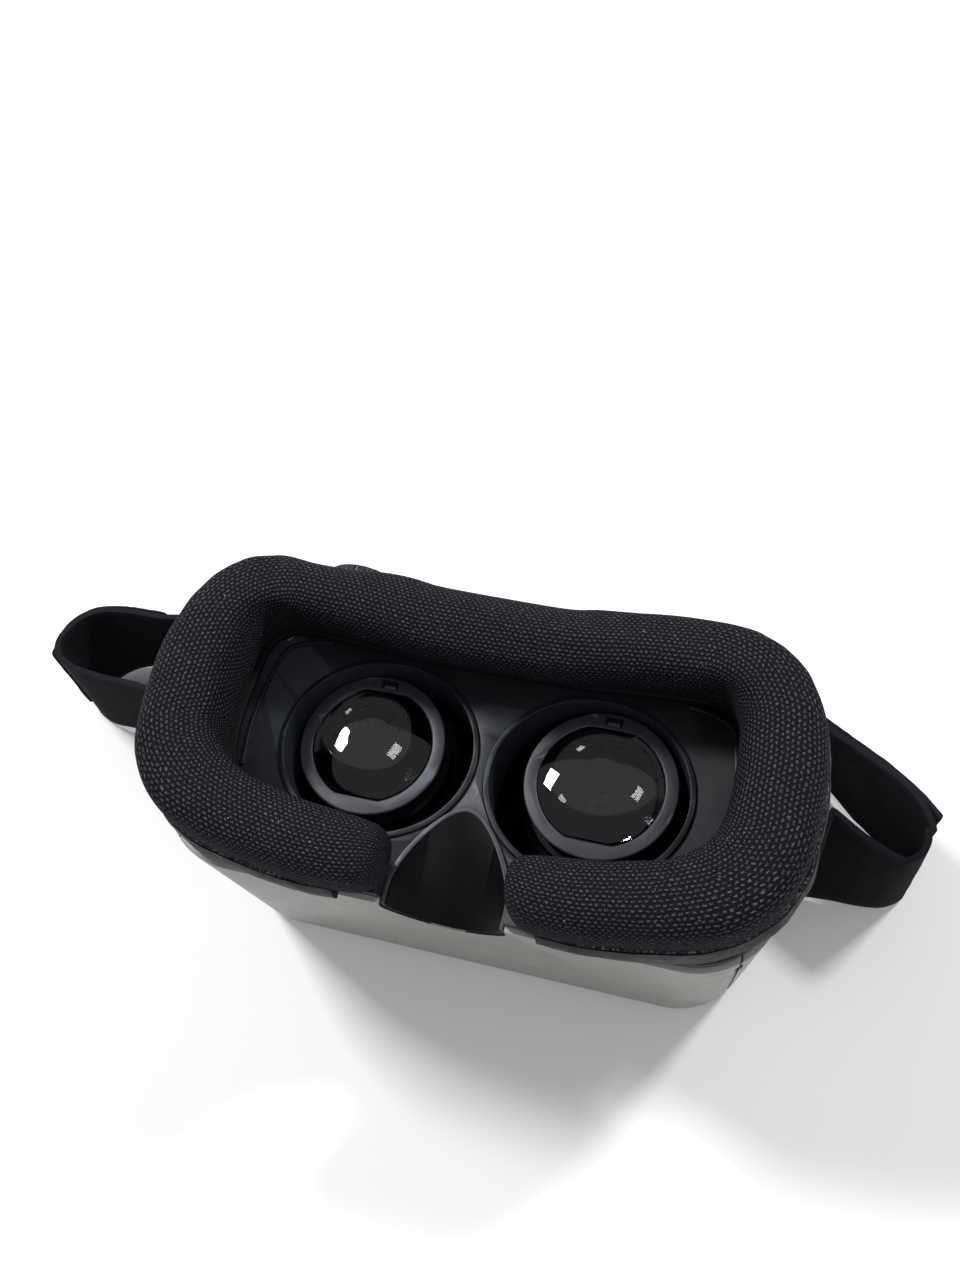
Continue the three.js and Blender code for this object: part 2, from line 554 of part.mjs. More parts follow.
const leftLoop = [[-100, 9.6], [-94, 9], [-89.8, 8.9], [-86.2, 5], [-89.8, 1.1], [-94, 3.2], [-103, 6.4],
  [-110, 8.6], [-125, 11], [-140, 11], [-150, 12.5], [-156, 18], [-155, 28], [-149, 35], [-140, 38], [-125, 39],
  [-110, 41], [-96, 46], [-80, 49.5]];
const backRun = [[-40, 50], [0, 50.5], [40, 50.5], [66, 50.5]];
const rightLoop = [[84, 47], [96, 40], [107, 32], [117, 24], [124, 15], [126, 7], [121, 1.6], [112, 0], [101, 1.6],
  [94, 1.6], [89.8, 1.1], [86.2, 5], [89.8, 8.9], [94, 8.4], [100, 7.4]];
const strapLine = [...leftLoop, ...backRun, ...rightLoop];
add('head_strap', ribbon(strapLine, STRAP.thick, [STRAP.low, STRAP.high], 110), CLOTH);

const tabs = {
  left: [[-158.4, 18], [-157.4, 29], [-150.6, 37], [-140.4, 40.4], [-126, 41.4]],
  right: [[86, 49.6], [97.4, 42.2], [108.6, 34], [118.8, 26], [125.6, 17.6]],
};
for (const [name] of SIDES) {
  add(`hook_tab_${name}`, ribbon(tabs[name], 1.2, [STRAP.low + 1.5, STRAP.high - 1.5], 20), CLOTH);
}

for (const [name, side] of SIDES) {
  const at = (x0, x1) => (side > 0 ? [x0, x1] : [-x1, -x0]);
  const ears = [[0.5, STRAP.low - GAP], [STRAP.high + GAP, STRAP.high + GAP + 2]].map(([low, high]) => join(
    block(at(ANCHOR.base, ANCHOR.bar), [ANCHOR.y - 4, ANCHOR.y + 4], [low, high]),
    bar('z', 4, [low, high], [side * ANCHOR.bar, ANCHOR.y], 24),
  ));
  const plateBlock = block(at(ANCHOR.base, ANCHOR.base + ANCHOR.plate), [ANCHOR.y - 12, ANCHOR.y + 12],
    [0.5, STRAP.high + GAP + 2]);
  const barHole = bar('z', ANCHOR.radius, [1.2, STRAP.high + 1.4], [side * ANCHOR.bar, ANCHOR.y], 16);
  add(`strap_anchor_${name}`, cut(join(plateBlock, ...ears), barHole), BLACK);
  add(`strap_bar_${name}`, bar('z', ANCHOR.radius - RUN, [1.5, STRAP.high + 1.1],
    [side * ANCHOR.bar, ANCHOR.y], 16), STEEL);
}

group.userData.unit = 'mm';
export default group;
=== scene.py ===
from math import atan2, cos, hypot, pi, radians, sin

import bpy
import bmesh
from mathutils import Matrix, Vector


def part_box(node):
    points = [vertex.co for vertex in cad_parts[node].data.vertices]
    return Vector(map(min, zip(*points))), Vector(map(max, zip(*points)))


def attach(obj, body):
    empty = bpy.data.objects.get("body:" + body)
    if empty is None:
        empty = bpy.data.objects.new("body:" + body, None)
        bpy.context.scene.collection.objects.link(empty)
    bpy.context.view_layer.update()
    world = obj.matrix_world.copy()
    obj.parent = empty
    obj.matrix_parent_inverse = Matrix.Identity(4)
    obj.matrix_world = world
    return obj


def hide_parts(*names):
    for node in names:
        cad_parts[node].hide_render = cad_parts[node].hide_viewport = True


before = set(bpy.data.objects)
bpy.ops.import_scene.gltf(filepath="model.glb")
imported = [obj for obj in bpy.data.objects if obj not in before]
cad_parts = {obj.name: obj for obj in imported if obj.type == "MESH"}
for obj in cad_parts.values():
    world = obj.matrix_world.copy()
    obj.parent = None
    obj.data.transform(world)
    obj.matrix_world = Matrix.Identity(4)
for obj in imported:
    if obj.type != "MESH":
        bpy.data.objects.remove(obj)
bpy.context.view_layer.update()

bl_info = {
    "name": "Viewing goggles",
    "version": (1, 0, 0),
    "blender": (4, 5, 0),
    "location": "View3D > Sidebar > Goggles",
    "description": "Builds head-worn viewing goggles piece by piece on their frame",
    "category": "Object",
}

MM = 0.001
SIDES = (("left", -1), ("right", 1))

# ---------------------------------------------------------------------------------------------
# Sizes and colours that a user would change


class ShellSettings(bpy.types.PropertyGroup):
    """Sizes of the pale housing."""
    wall: bpy.props.FloatProperty(name="Wall", description="Thickness of the housing's wall",
                                  default=2.2 * MM, unit="LENGTH")
    corner: bpy.props.FloatProperty(name="Corner", description="Radius of the upright corners",
                                    default=22 * MM, unit="LENGTH")
    fillet: bpy.props.FloatProperty(name="Fillet", description="Radius round the front edge",
                                    default=6 * MM, unit="LENGTH")
    colour: bpy.props.FloatVectorProperty(name="Colour", description="Colour of the pale plastic",
                                          default=(0.20, 0.20, 0.187), subtype="COLOR", min=0, max=1)


class CushionSettings(bpy.types.PropertyGroup):
    """Sizes of the face cushion and its knitted cover."""
    voxel: bpy.props.FloatProperty(name="Voxel", description="Grid that the foam is meshed on",
                                   default=3.2 * MM, unit="LENGTH")
    pressure: bpy.props.FloatProperty(name="Pressure", description="How hard the foam fills its cover",
                                      default=3.0)
    stiffness: bpy.props.FloatProperty(name="Stiffness", description="How hard the cover resists stretching",
                                       default=0.15)
    most_move: bpy.props.FloatProperty(name="Most move", description="Farthest that the cover may swell",
                                       default=3.0 * MM, unit="LENGTH")
    mesh_pitch: bpy.props.FloatProperty(name="Mesh pitch", description="Width of one cell of the knit",
                                        default=1.5 * MM, unit="LENGTH")
    thread: bpy.props.FloatVectorProperty(name="Thread", description="Colour of the knit's thread",
                                          default=(0.055, 0.057, 0.071), subtype="COLOR", min=0, max=1)


class StrapSettings(bpy.types.PropertyGroup):
    """Sizes of the head strap."""
    width: bpy.props.FloatProperty(name="Width", description="Width of the band",
                                   default=36 * MM, unit="LENGTH")
    thickness: bpy.props.FloatProperty(name="Thickness", description="Thickness of the band",
                                       default=2.0 * MM, unit="LENGTH")
    colour: bpy.props.FloatVectorProperty(name="Colour", description="Colour of the band's pile",
                                          default=(0.0038, 0.004, 0.0052), subtype="COLOR", min=0, max=1)


# ---------------------------------------------------------------------------------------------
# Bench work: the operators that every piece is shaped with


def put_down():
    """Leaves edit mode and lets go of everything."""
    if bpy.context.object and bpy.context.object.mode != "OBJECT":
        bpy.ops.object.mode_set(mode="OBJECT")
    bpy.ops.object.select_all(action="DESELECT")


def take(piece):
    put_down()
    piece.select_set(True)
    bpy.context.view_layer.objects.active = piece
    return piece


def start(kind, name, **place):
    """Adds a primitive under its own name."""
    put_down()
    getattr(bpy.ops.mesh, f"primitive_{kind}_add")(**place)
    piece = bpy.context.object
    piece.name = name
    piece.data.name = name
    return piece


def settle(piece):
    """Puts the piece's place into its mesh."""
    take(piece)
    bpy.ops.object.transform_apply(location=True, rotation=True, scale=True)
    return piece


def slab(name, low, high):
    """A block between two corners, in metres."""
    low, high = Vector(low), Vector(high)
    piece = start("cube", name, size=1, location=(low + high) / 2)
    piece.scale = high - low
    return settle(piece)


def drum(name, radius, span, centre, axis="z", sides=64):
    """A round bar between two stations along one axis."""
    middle = (span[0] + span[1]) / 2
    turn = {"x": (0, pi / 2, 0), "y": (pi / 2, 0, 0), "z": (0, 0, 0)}[axis]
    place = {"x": (middle, *centre), "y": (centre[0], middle, centre[1]), "z": (*centre, middle)}[axis]
    piece = start("cylinder", name, vertices=sides, radius=radius, depth=abs(span[1] - span[0]),
                  location=place, rotation=turn)
    return settle(piece)


def edit(piece, kind, wanted):
    """Enters edit mode with the faces, edges or vertices selected that the test asks for."""
    take(piece)
    bpy.ops.object.mode_set(mode="EDIT")
    bpy.ops.mesh.select_mode(type=kind)
    bpy.ops.mesh.select_all(action="DESELECT")
    work = bmesh.from_edit_mesh(piece.data)
    things = {"FACE": work.faces, "EDGE": work.edges, "VERT": work.verts}[kind]
    for thing in things:
        if wanted(thing):
            thing.select_set(True)
    work.select_flush_mode()
    bmesh.update_edit_mesh(piece.data)


def done():
    bpy.ops.object.mode_set(mode="OBJECT")


def push(x, y, z):
    """Draws the selected faces out by a step, with new walls round them."""
    bpy.ops.mesh.extrude_region_move(TRANSFORM_OT_translate={"value": (x, y, z)})


def bevel_edges(piece, wanted, width, segments):
    """Rounds the edges that the test asks for."""
    edit(piece, "EDGE", wanted)
    bpy.ops.mesh.bevel(offset=width, segments=segments, affect="EDGES")
    done()


def facing(direction, limit=0.9):
    direction = Vector(direction)
    return lambda face: face.normal.dot(direction) > limit


def along(axis, limit=0.95):
    """Edges that run along an axis."""
    def wanted(edge):
        run = edge.verts[1].co - edge.verts[0].co
        return run.length > 0 and abs(run.normalized()[axis]) > limit
    return wanted


def modify(piece, kind, **settings):
    """Adds a modifier and applies it."""
    take(piece)
    modifier = piece.modifiers.new(kind.title(), kind)
    for key, value in settings.items():
        setattr(modifier, key, value)
    bpy.ops.object.modifier_apply(modifier=modifier.name)
    return piece


def carve(piece, *cutters, operation="DIFFERENCE"):
    """Cuts the piece with other pieces, or joins them to it, and clears those away."""
    for cutter in cutters:
        modify(piece, "BOOLEAN", object=cutter, operation=operation, solver="EXACT")
        bpy.data.objects.remove(cutter, do_unlink=True)
    return piece


def gather(piece, *others):
    """Joins loose pieces into one object."""
    take(piece)
    for other in others:
        other.select_set(True)
    bpy.ops.object.join()
    return piece


def tidy(piece, distance=1e-5):
    take(piece)
    bpy.ops.object.mode_set(mode="EDIT")
    bpy.ops.mesh.select_all(action="SELECT")
    bpy.ops.mesh.remove_doubles(threshold=distance)
    bpy.ops.mesh.normals_make_consistent(inside=False)
    done()
    return piece


def copy_of_node(node, name):
    """A merged copy of a frame node to work on."""
    take(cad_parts[node])
    bpy.ops.object.duplicate()
    other = bpy.context.object
    other.name = other.data.name = name
    other.modifiers.clear()
    other.data.materials.clear()
    parent_free = other.matrix_world.copy()
    other.parent = None
    other.matrix_world = parent_free
    other.hide_render = False
    other.hide_set(False)
    return tidy(settle(other))


def round_off(piece, width, segments=3, angle=32):
    modify(piece, "BEVEL", width=width, segments=segments, limit_method="ANGLE",
           angle_limit=radians(angle), use_clamp_overlap=True, harden_normals=False)
    return piece


def smooth(piece, angle=35):
    take(piece)
    bpy.ops.object.shade_smooth_by_angle(angle=radians(angle))
    return piece


def present(piece, material, body, slot, *nodes):
    """Gives a finished piece its material, the body it rides on and the nodes it stands for."""
    piece.data.materials.clear()
    piece.data.materials.append(material)
    for polygon in piece.data.polygons:
        polygon.material_index = 0
    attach(piece, body)
    if nodes:
        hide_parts(*nodes)
    return piece


def smooth_path(name, points, resolution=10):
    """A smooth curve through points, in metres, ready to be given a width or a section."""
    put_down()
    bpy.ops.curve.primitive_bezier_curve_add()
    curve = bpy.context.object
    curve.name = curve.data.name = name
    spline = curve.data.splines[0]
    spline.bezier_points.add(len(points) - 2)
    curve.data.twist_mode = "Z_UP"
    curve.data.resolution_u = resolution
    for i, point in enumerate(points):
        knot = spline.bezier_points[i]
        knot.co = point
        knot.handle_left_type = knot.handle_right_type = "AUTO"
    curve.location = (0, 0, 0)
    return curve


def to_mesh(curve):
    take(curve)
    bpy.ops.object.convert(target="MESH")
    return settle(bpy.context.object)


# ---------------------------------------------------------------------------------------------
# Finishes


class Finish:
    """A material being mixed: its nodes, its shader and short ways to add to them."""

    def __init__(self, name, colour, roughness, **sockets):
        self.material = bpy.data.materials.new(name)
        self.material.use_nodes = True
        self.nodes = self.material.node_tree.nodes
        self.links = self.material.node_tree.links
        self.shader = self.nodes["Principled BSDF"]
        self.shader.inputs["Base Color"].default_value = (*colour, 1)
        self.shader.inputs["Roughness"].default_value = roughness
        for socket, value in sockets.items():
            self.shader.inputs[socket.replace("_", " ")].default_value = value
        self.place = self.nodes.new("ShaderNodeTexCoord").outputs["Object"]

    def node(self, kind, inputs=(), **settings):
        node = self.nodes.new(kind)
        for key, value in settings.items():
            setattr(node, key, value)
        for socket, value in dict(inputs).items():
            if isinstance(value, bpy.types.NodeSocket):
                self.links.new(value, node.inputs[socket])
            else:
                node.inputs[socket].default_value = value
        return node

    def noise(self, scale, detail=3.0, roughness=0.55, place=None):
        return self.node("ShaderNodeTexNoise", {"Vector": place or self.place, "Scale": scale,
                                                "Detail": detail, "Roughness": roughness}).outputs["Fac"]

    def spread(self, value, low, high, to_low=0.0, to_high=1.0):
        """Maps a value's range to another, clamped."""
        return self.node("ShaderNodeMapRange", {"Value": value, "From Min": low, "From Max": high,
                                                "To Min": to_low, "To Max": to_high}).outputs["Result"]

    def sums(self, operation, a, b):
        node = self.node("ShaderNodeMath", {0: a, 1: b}, operation=operation)
        return node.outputs[0]

    def blend(self, factor, a, b):
        colours = [value if isinstance(value, bpy.types.NodeSocket) else (*value, 1) for value in (a, b)]
        node = self.node("ShaderNodeMix", {0: factor, 6: colours[0], 7: colours[1]}, data_type="RGBA")
        return node.outputs[2]

    def colour(self, value):
        self.links.new(value, self.shader.inputs["Base Color"])

    def rough(self, value):
        self.links.new(value, self.shader.inputs["Roughness"])

    def bump(self, height, depth, strength=1.0, under=None):
        inputs = {"Height": height, "Distance": depth, "Strength": strength}
        if under is not None:
            inputs["Normal"] = under
        return self.node("ShaderNodeBump", inputs).outputs["Normal"]

    def relief(self, normal):
        self.links.new(normal, self.shader.inputs["Normal"])
        return self.material


def shade(colour, amount):
    return tuple(min(1.0, part * amount) for part in colour)


def pale_plastic(colour):
    """Satin moulded plastic with a fine spark grain, faint handling marks and a painted highlight that
    lightens its sharp edges.
    """
    mix = Finish("shell satin plastic", colour, 0.38, Specular_IOR_Level=0.45)
    cloud = mix.noise(55, 4)
    smear = mix.noise(160, 5, 0.65)
    body = mix.blend(mix.spread(cloud, 0.3, 0.7), shade(colour, 0.93), shade(colour, 1.05))
    # Sharp convex edges are painted lighter: a painted highlight along them.
    edge = mix.spread(mix.node("ShaderNodeNewGeometry").outputs["Pointiness"], 0.515, 0.58)
    mix.colour(mix.blend(edge, body, shade(colour, 1.45)))
    mix.rough(mix.spread(smear, 0.3, 0.75, 0.32, 0.48))
    grain = mix.bump(mix.noise(2600, 2), 0.03 * MM, 0.35)
    return mix.relief(mix.bump(cloud, 0.25 * MM, 0.25, grain))


def black_plastic(name="black moulded plastic", colour=(0.0055, 0.0064, 0.0085), roughness=0.38, dust=1.0,
                  specular=0.22):
    """Black injection-moulded plastic with dust specks and a painted highlight that lightens its sharp
    edges.
    """
    mix = Finish(name, colour, roughness, Specular_IOR_Level=specular)
    cloud = mix.noise(90, 4)
    body = mix.blend(mix.spread(cloud, 0.3, 0.7), shade(colour, 0.8), shade(colour, 1.3))
    # Sharp convex edges are painted four times lighter: a painted highlight along them.
    edge = mix.spread(mix.node("ShaderNodeNewGeometry").outputs["Pointiness"], 0.52, 0.6)
    painted_edge_highlight = mix.blend(edge, body, shade(colour, 4.0))
    speck = mix.node("ShaderNodeTexVoronoi", {"Vector": mix.place, "Scale": 330.0, "Randomness": 1.0})
    dot = mix.spread(speck.outputs["Distance"], 0.045, 0.02)
    patch = mix.spread(mix.noise(120, 2), 0.52, 0.62, 0.0, 0.75 * dust)
    mix.colour(mix.blend(mix.sums("MULTIPLY", dot, patch), painted_edge_highlight, (0.20, 0.20, 0.19)))
    mix.rough(mix.spread(mix.noise(240, 5, 0.7), 0.25, 0.8, roughness - 0.06, roughness + 0.12))
    return mix.relief(mix.bump(mix.noise(3000, 2), 0.025 * MM, 0.4))


def knit_mesh(colour, pitch):
    """Spacer mesh: rows of oval cells, each row shifted by half a cell, with thread between them."""
    mix = Finish("cushion mesh knit", colour, 0.86, Specular_IOR_Level=0.06)
    flat = mix.node("ShaderNodeAttribute", attribute_name="knit").outputs["Vector"]
    drift = mix.node("ShaderNodeTexNoise", {"Vector": flat, "Scale": 700.0}).outputs["Color"]
    stray = mix.node("ShaderNodeVectorMath", {0: drift, "Scale": 1.0 * MM}, operation="SCALE").outputs[0]
    wander = mix.node("ShaderNodeVectorMath", {0: flat, 1: stray}, operation="ADD").outputs[0]
    cells = mix.node("ShaderNodeTexBrick", {
        "Vector": wander, "Scale": 1.0 / pitch, "Mortar Size": 0.34, "Mortar Smooth": 1.0, "Bias": 0.0,
        "Brick Width": 1.0, "Row Height": 0.76, "Color1": (0, 0, 0, 1), "Color2": (0, 0, 0, 1),
        "Mortar": (1, 1, 1, 1)}, offset=0.5)
    thread = mix.spread(cells.outputs["Fac"], 0.72, 0.0)
    strand = mix.node("ShaderNodeTexWave", {"Vector": wander, "Scale": 620.0, "Distortion": 3.0,
                                            "Detail": 2.0}, bands_direction="DIAGONAL").outputs["Fac"]
    fluff = mix.noise(2400, 3, 0.7)
    tone = mix.blend(mix.spread(mix.noise(38, 3), 0.3, 0.7), shade(colour, 0.85), shade(colour, 1.2))
    # Fluffy specks on the yarn are painted lighter: a painted sparkle.
    painted_sparkle = mix.blend(mix.spread(fluff, 0.35, 0.8), tone, shade(colour, 1.7))
    yarns = mix.blend(strand, shade(colour, 0.45), painted_sparkle)
    # Where the thread mask is low, in the sunken gaps between the raised cells, the colour is painted near
    # black: painted shade in the knit's holes.
    weave = mix.blend(thread, shade(colour, 0.09), yarns)
    lint = mix.spread(mix.noise(900, 2), 0.74, 0.78)
    mix.colour(mix.blend(lint, weave, shade(colour, 5.0)))
    yarn = mix.bump(fluff, 0.10 * MM, 0.5)
    return mix.relief(mix.bump(thread, 0.5 * MM, 1.0, yarn))


def skirt_leather():
    """Coated leathercloth with a pebble grain and long pulled wrinkles."""
    colour = (0.005, 0.005, 0.006)
    mix = Finish("skirt leathercloth", colour, 0.55, Specular_IOR_Level=0.12)
    stretch = mix.node("ShaderNodeMapping", {"Vector": mix.place, "Scale": (1.0, 1.0, 0.32)}).outputs[0]
    crease = mix.noise(210, 4, 0.6, stretch)
    pebble = mix.node("ShaderNodeTexVoronoi", {"Vector": mix.place, "Scale": 1500.0}).outputs["Distance"]
    # The colour follows the crease noise of the bump, darker in the troughs and lighter on the crests:
    # painted shade in the wrinkles.
    mix.colour(mix.blend(mix.spread(crease, 0.35, 0.7), colour, shade(colour, 1.8)))
    mix.rough(mix.spread(crease, 0.3, 0.7, 0.42, 0.62))
    fine = mix.bump(pebble, 0.06 * MM, 0.35)
    return mix.relief(mix.bump(crease, 0.9 * MM, 0.7, fine))


def seam_lint_and_highlight():
    """The piping on the black seam under the cushion, pale in fuzzy patches: partly lint, partly a painted
    highlight along the piping.
    """
    mix = Finish("seam lint and highlight", (0.02, 0.02, 0.022), 0.9, Specular_IOR_Level=0.1)
    lint = mix.noise(1300, 4, 0.7)
    # The pale patches stand partly for lint and partly for a painted highlight along the piping.
    mix.colour(mix.blend(mix.spread(lint, 0.5, 0.7), (0.012, 0.012, 0.014), (0.22, 0.22, 0.225)))
    return mix.relief(mix.bump(lint, 0.3 * MM, 0.8))


def strap_pile(name, colour, width, rib=1.0):
    """Brushed loop pile on an elastic band: fine ribs across it, nap over them and bound edges."""
    mix = Finish(name, colour, 0.95, Sheen_Weight=0.02, Sheen_Roughness=0.5, Specular_IOR_Level=0.08)
    flat = mix.node("ShaderNodeUVMap", uv_map="cloth").outputs["UV"]
    parts = mix.node("ShaderNodeSeparateXYZ", {"Vector": flat})
    ribs = mix.node("ShaderNodeTexWave", {"Vector": flat, "Scale": 330.0, "Distortion": 0.6,
                                          "Detail": 1.0, "Detail Scale": 2.0}).outputs["Fac"]
    nap = mix.noise(1900, 4, 0.75)
    patch = mix.noise(70, 4, 0.6)
    middle = mix.sums("ABSOLUTE", mix.sums("SUBTRACT", parts.outputs["Y"], width / 2), 0.0)
    bound = mix.spread(middle, width / 2 - 2.3 * MM, width / 2 - 1.7 * MM)
    tone = mix.blend(mix.spread(patch, 0.3, 0.72), shade(colour, 0.6), shade(colour, 1.6))
    pile = mix.blend(mix.spread(nap, 0.5, 0.85), tone, shade(colour, 5.0))
    mix.colour(mix.blend(bound, pile, shade(colour, 2.4)))
    ribbed = mix.bump(ribs, 0.14 * MM * rib, 0.5)
    return mix.relief(mix.bump(nap, 0.35 * MM, 0.8, ribbed))


def brushed_steel():
    """Plated steel with fine lines from drawing and a little smearing."""
    mix = Finish("plated steel", (0.55, 0.555, 0.56), 0.28, Metallic=1.0)
    drawn = mix.node("ShaderNodeMapping", {"Vector": mix.place, "Scale": (0.05, 1.0, 1.0)}).outputs[0]
    lines = mix.noise(3600, 3, 0.6, drawn)
    mix.colour(mix.blend(mix.noise(200, 3), (0.46, 0.465, 0.47), (0.62, 0.62, 0.62)))
    mix.rough(mix.spread(lines, 0.3, 0.7, 0.2, 0.4))
    return mix.relief(mix.bump(lines, 0.01 * MM, 0.3))


def lens_acrylic():
    """Clear moulded acrylic with the faintest uneven tint."""
    mix = Finish("lens acrylic", (0.97, 0.985, 1.0), 0.0, Transmission_Weight=1.0, IOR=1.49,
                 Specular_IOR_Level=0.25)
    mix.colour(mix.blend(mix.noise(60, 2), (0.95, 0.965, 0.97), (0.98, 0.985, 0.99)))
    return mix.material


def pad_rubber():
    """Matt rubber foam with open pores."""
    mix = Finish("pad rubber", (0.02, 0.02, 0.022), 0.9)
    pores = mix.node("ShaderNodeTexVoronoi", {"Vector": mix.place, "Scale": 1400.0}).outputs["Distance"]
    # Darker towards each pore's centre, where the bump sinks: painted shade in the pores.
    mix.colour(mix.blend(pores, (0.008, 0.008, 0.009), (0.035, 0.035, 0.038)))
    return mix.relief(mix.bump(pores, 0.2 * MM, 0.6))


FINISHES = {}


def finish(name):
    """The named finish, mixed the first time that it is asked for."""
    scene = bpy.context.scene
    makers = {
        "shell": lambda: pale_plastic(scene.goggle_shell.colour),
        "frame": black_plastic,
        "inner": lambda: black_plastic("inner matt plastic", (0.002, 0.002, 0.0024), 0.6, 0.3, 0.15),
        "ring": lambda: black_plastic("ring textured plastic", (0.0165, 0.0188, 0.0245), 0.42, 0.8, 0.36),
        "saddle": lambda: black_plastic("nose saddle plastic", (0.0016, 0.0016, 0.002), 0.45, 0.6, 0.1),
        "knit": lambda: knit_mesh(scene.goggle_cushion.thread, scene.goggle_cushion.mesh_pitch),
        "leather": skirt_leather,
        "seam": seam_lint_and_highlight,
        "strap": lambda: strap_pile("strap loop pile", scene.goggle_strap.colour, scene.goggle_strap.width),
        "tab": lambda: strap_pile("hook tab pile", (0.012, 0.012, 0.014), 33 * MM, 0.4),
        "steel": brushed_steel,
        "lens": lens_acrylic,
        "rubber": pad_rubber,
    }
    if name not in FINISHES:
        FINISHES[name] = makers[name]()
    return FINISHES[name]


# ---------------------------------------------------------------------------------------------
# Places, read from the frame

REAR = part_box("main_shell")[1][2]                       # the housing's rear rim
FRONT_HALF = 80 * MM                      # half the housing's width at its front face
FRONT_LOW, FRONT_HIGH = -41.5 * MM, 41 * MM
FLARE = Vector((1.05, 1.052, 1.0))        # how much the housing grows towards its rear rim
SEAM_X = Vector(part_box("side_panel_right")[0]).x - 0.15 * MM
PLATE = 70.2 * MM                         # top of the black face plate
RIM = Vector(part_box("optics_frame")[1]).z
EYE = {"x": 29.8 * MM, "y": -1 * MM, "half_x": 27 * MM, "half_y": 24.9 * MM, "wall": 1.5 * MM}
HINGE = Vector((0, 36.6, 3.4)) * MM
SHAFT_SLOT = {"x": 51.6 * MM, "half": 6.2 * MM, "low": 57.9 * MM, "high": 62.1 * MM}
SEAM_SLOT = {"half": 0.9 * MM, "low": 57 * MM, "high": 66 * MM}
LINING = {"inner": 72.8 * MM, "outer": 75.2 * MM}
NOSE = {"apex": -19 * MM, "half": 13.6 * MM, "slope": 2.1}   # the arch over the nose


def housing_block(name, inset, low, high, corner, flare=True):
    """The housing's round-cornered outline as a block between two heights, flared like the housing."""
    block = slab(name, (-FRONT_HALF + inset, FRONT_LOW + inset, low),
                 (FRONT_HALF - inset, FRONT_HIGH - inset, high))
    bevel_edges(block, along(2), max(corner - inset, 3 * MM), 14)
    if flare:
        take(block)
        for level in (low, high):
            grow = Vector((1 + (FLARE.x - 1) * level / REAR, 1 + (FLARE.y - 1) * level / REAR, 1))
            edit(block, "VERT", lambda vert, level=level: abs(vert.co.z - level) < 1e-6)
            bpy.ops.transform.resize(value=grow, center_override=(0, 0, level))
            done()
    return block


def nose_cutter(name, grow, low, high):
    """A wedge with an arched top that slopes down to the chin side, for the nose notch."""
    half, apex = NOSE["half"] + grow, NOSE["apex"] + grow
    foot, shoulder = apex - 23 * MM, apex - 16 * MM
    put_down()
    bpy.ops.curve.primitive_bezier_curve_add()
    curve = bpy.context.object
    curve.name = curve.data.name = name
    curve.location = (0, 0, 0)
    curve.data.resolution_u = 18
    knots = curve.data.splines[0].bezier_points
    knots.add(3)
    arch = (((-half, apex - 44 * MM), (0, 6 * MM)), ((-half, foot), (0, shoulder - foot)),
            ((0, apex), (half * 0.4, 0)),
            ((half, foot), (0, foot - shoulder)), ((half, apex - 44 * MM), (0, -6 * MM)))
    for knot, ((x, y), (reach_x, reach_y)) in zip(knots, arch):
        knot.handle_left_type = knot.handle_right_type = "FREE"
        knot.co = (x, y, low)
        knot.handle_left = (x - reach_x, y - reach_y, low)
        knot.handle_right = (x + reach_x, y + reach_y, low)
    wedge = to_mesh(curve)
    edit(wedge, "VERT", lambda vert: True)
    bpy.ops.mesh.edge_face_add()
    push(0, 0, high - low)
    done()
    for level in (low, high):
        edit(wedge, "VERT", lambda vert, level=level: abs(vert.co.z - level) < 1e-6)
        bpy.ops.transform.translate(value=(0, (level - PLATE) * NOSE["slope"], 0))
        done()
    return tidy(wedge)


# ---------------------------------------------------------------------------------------------
# Housing


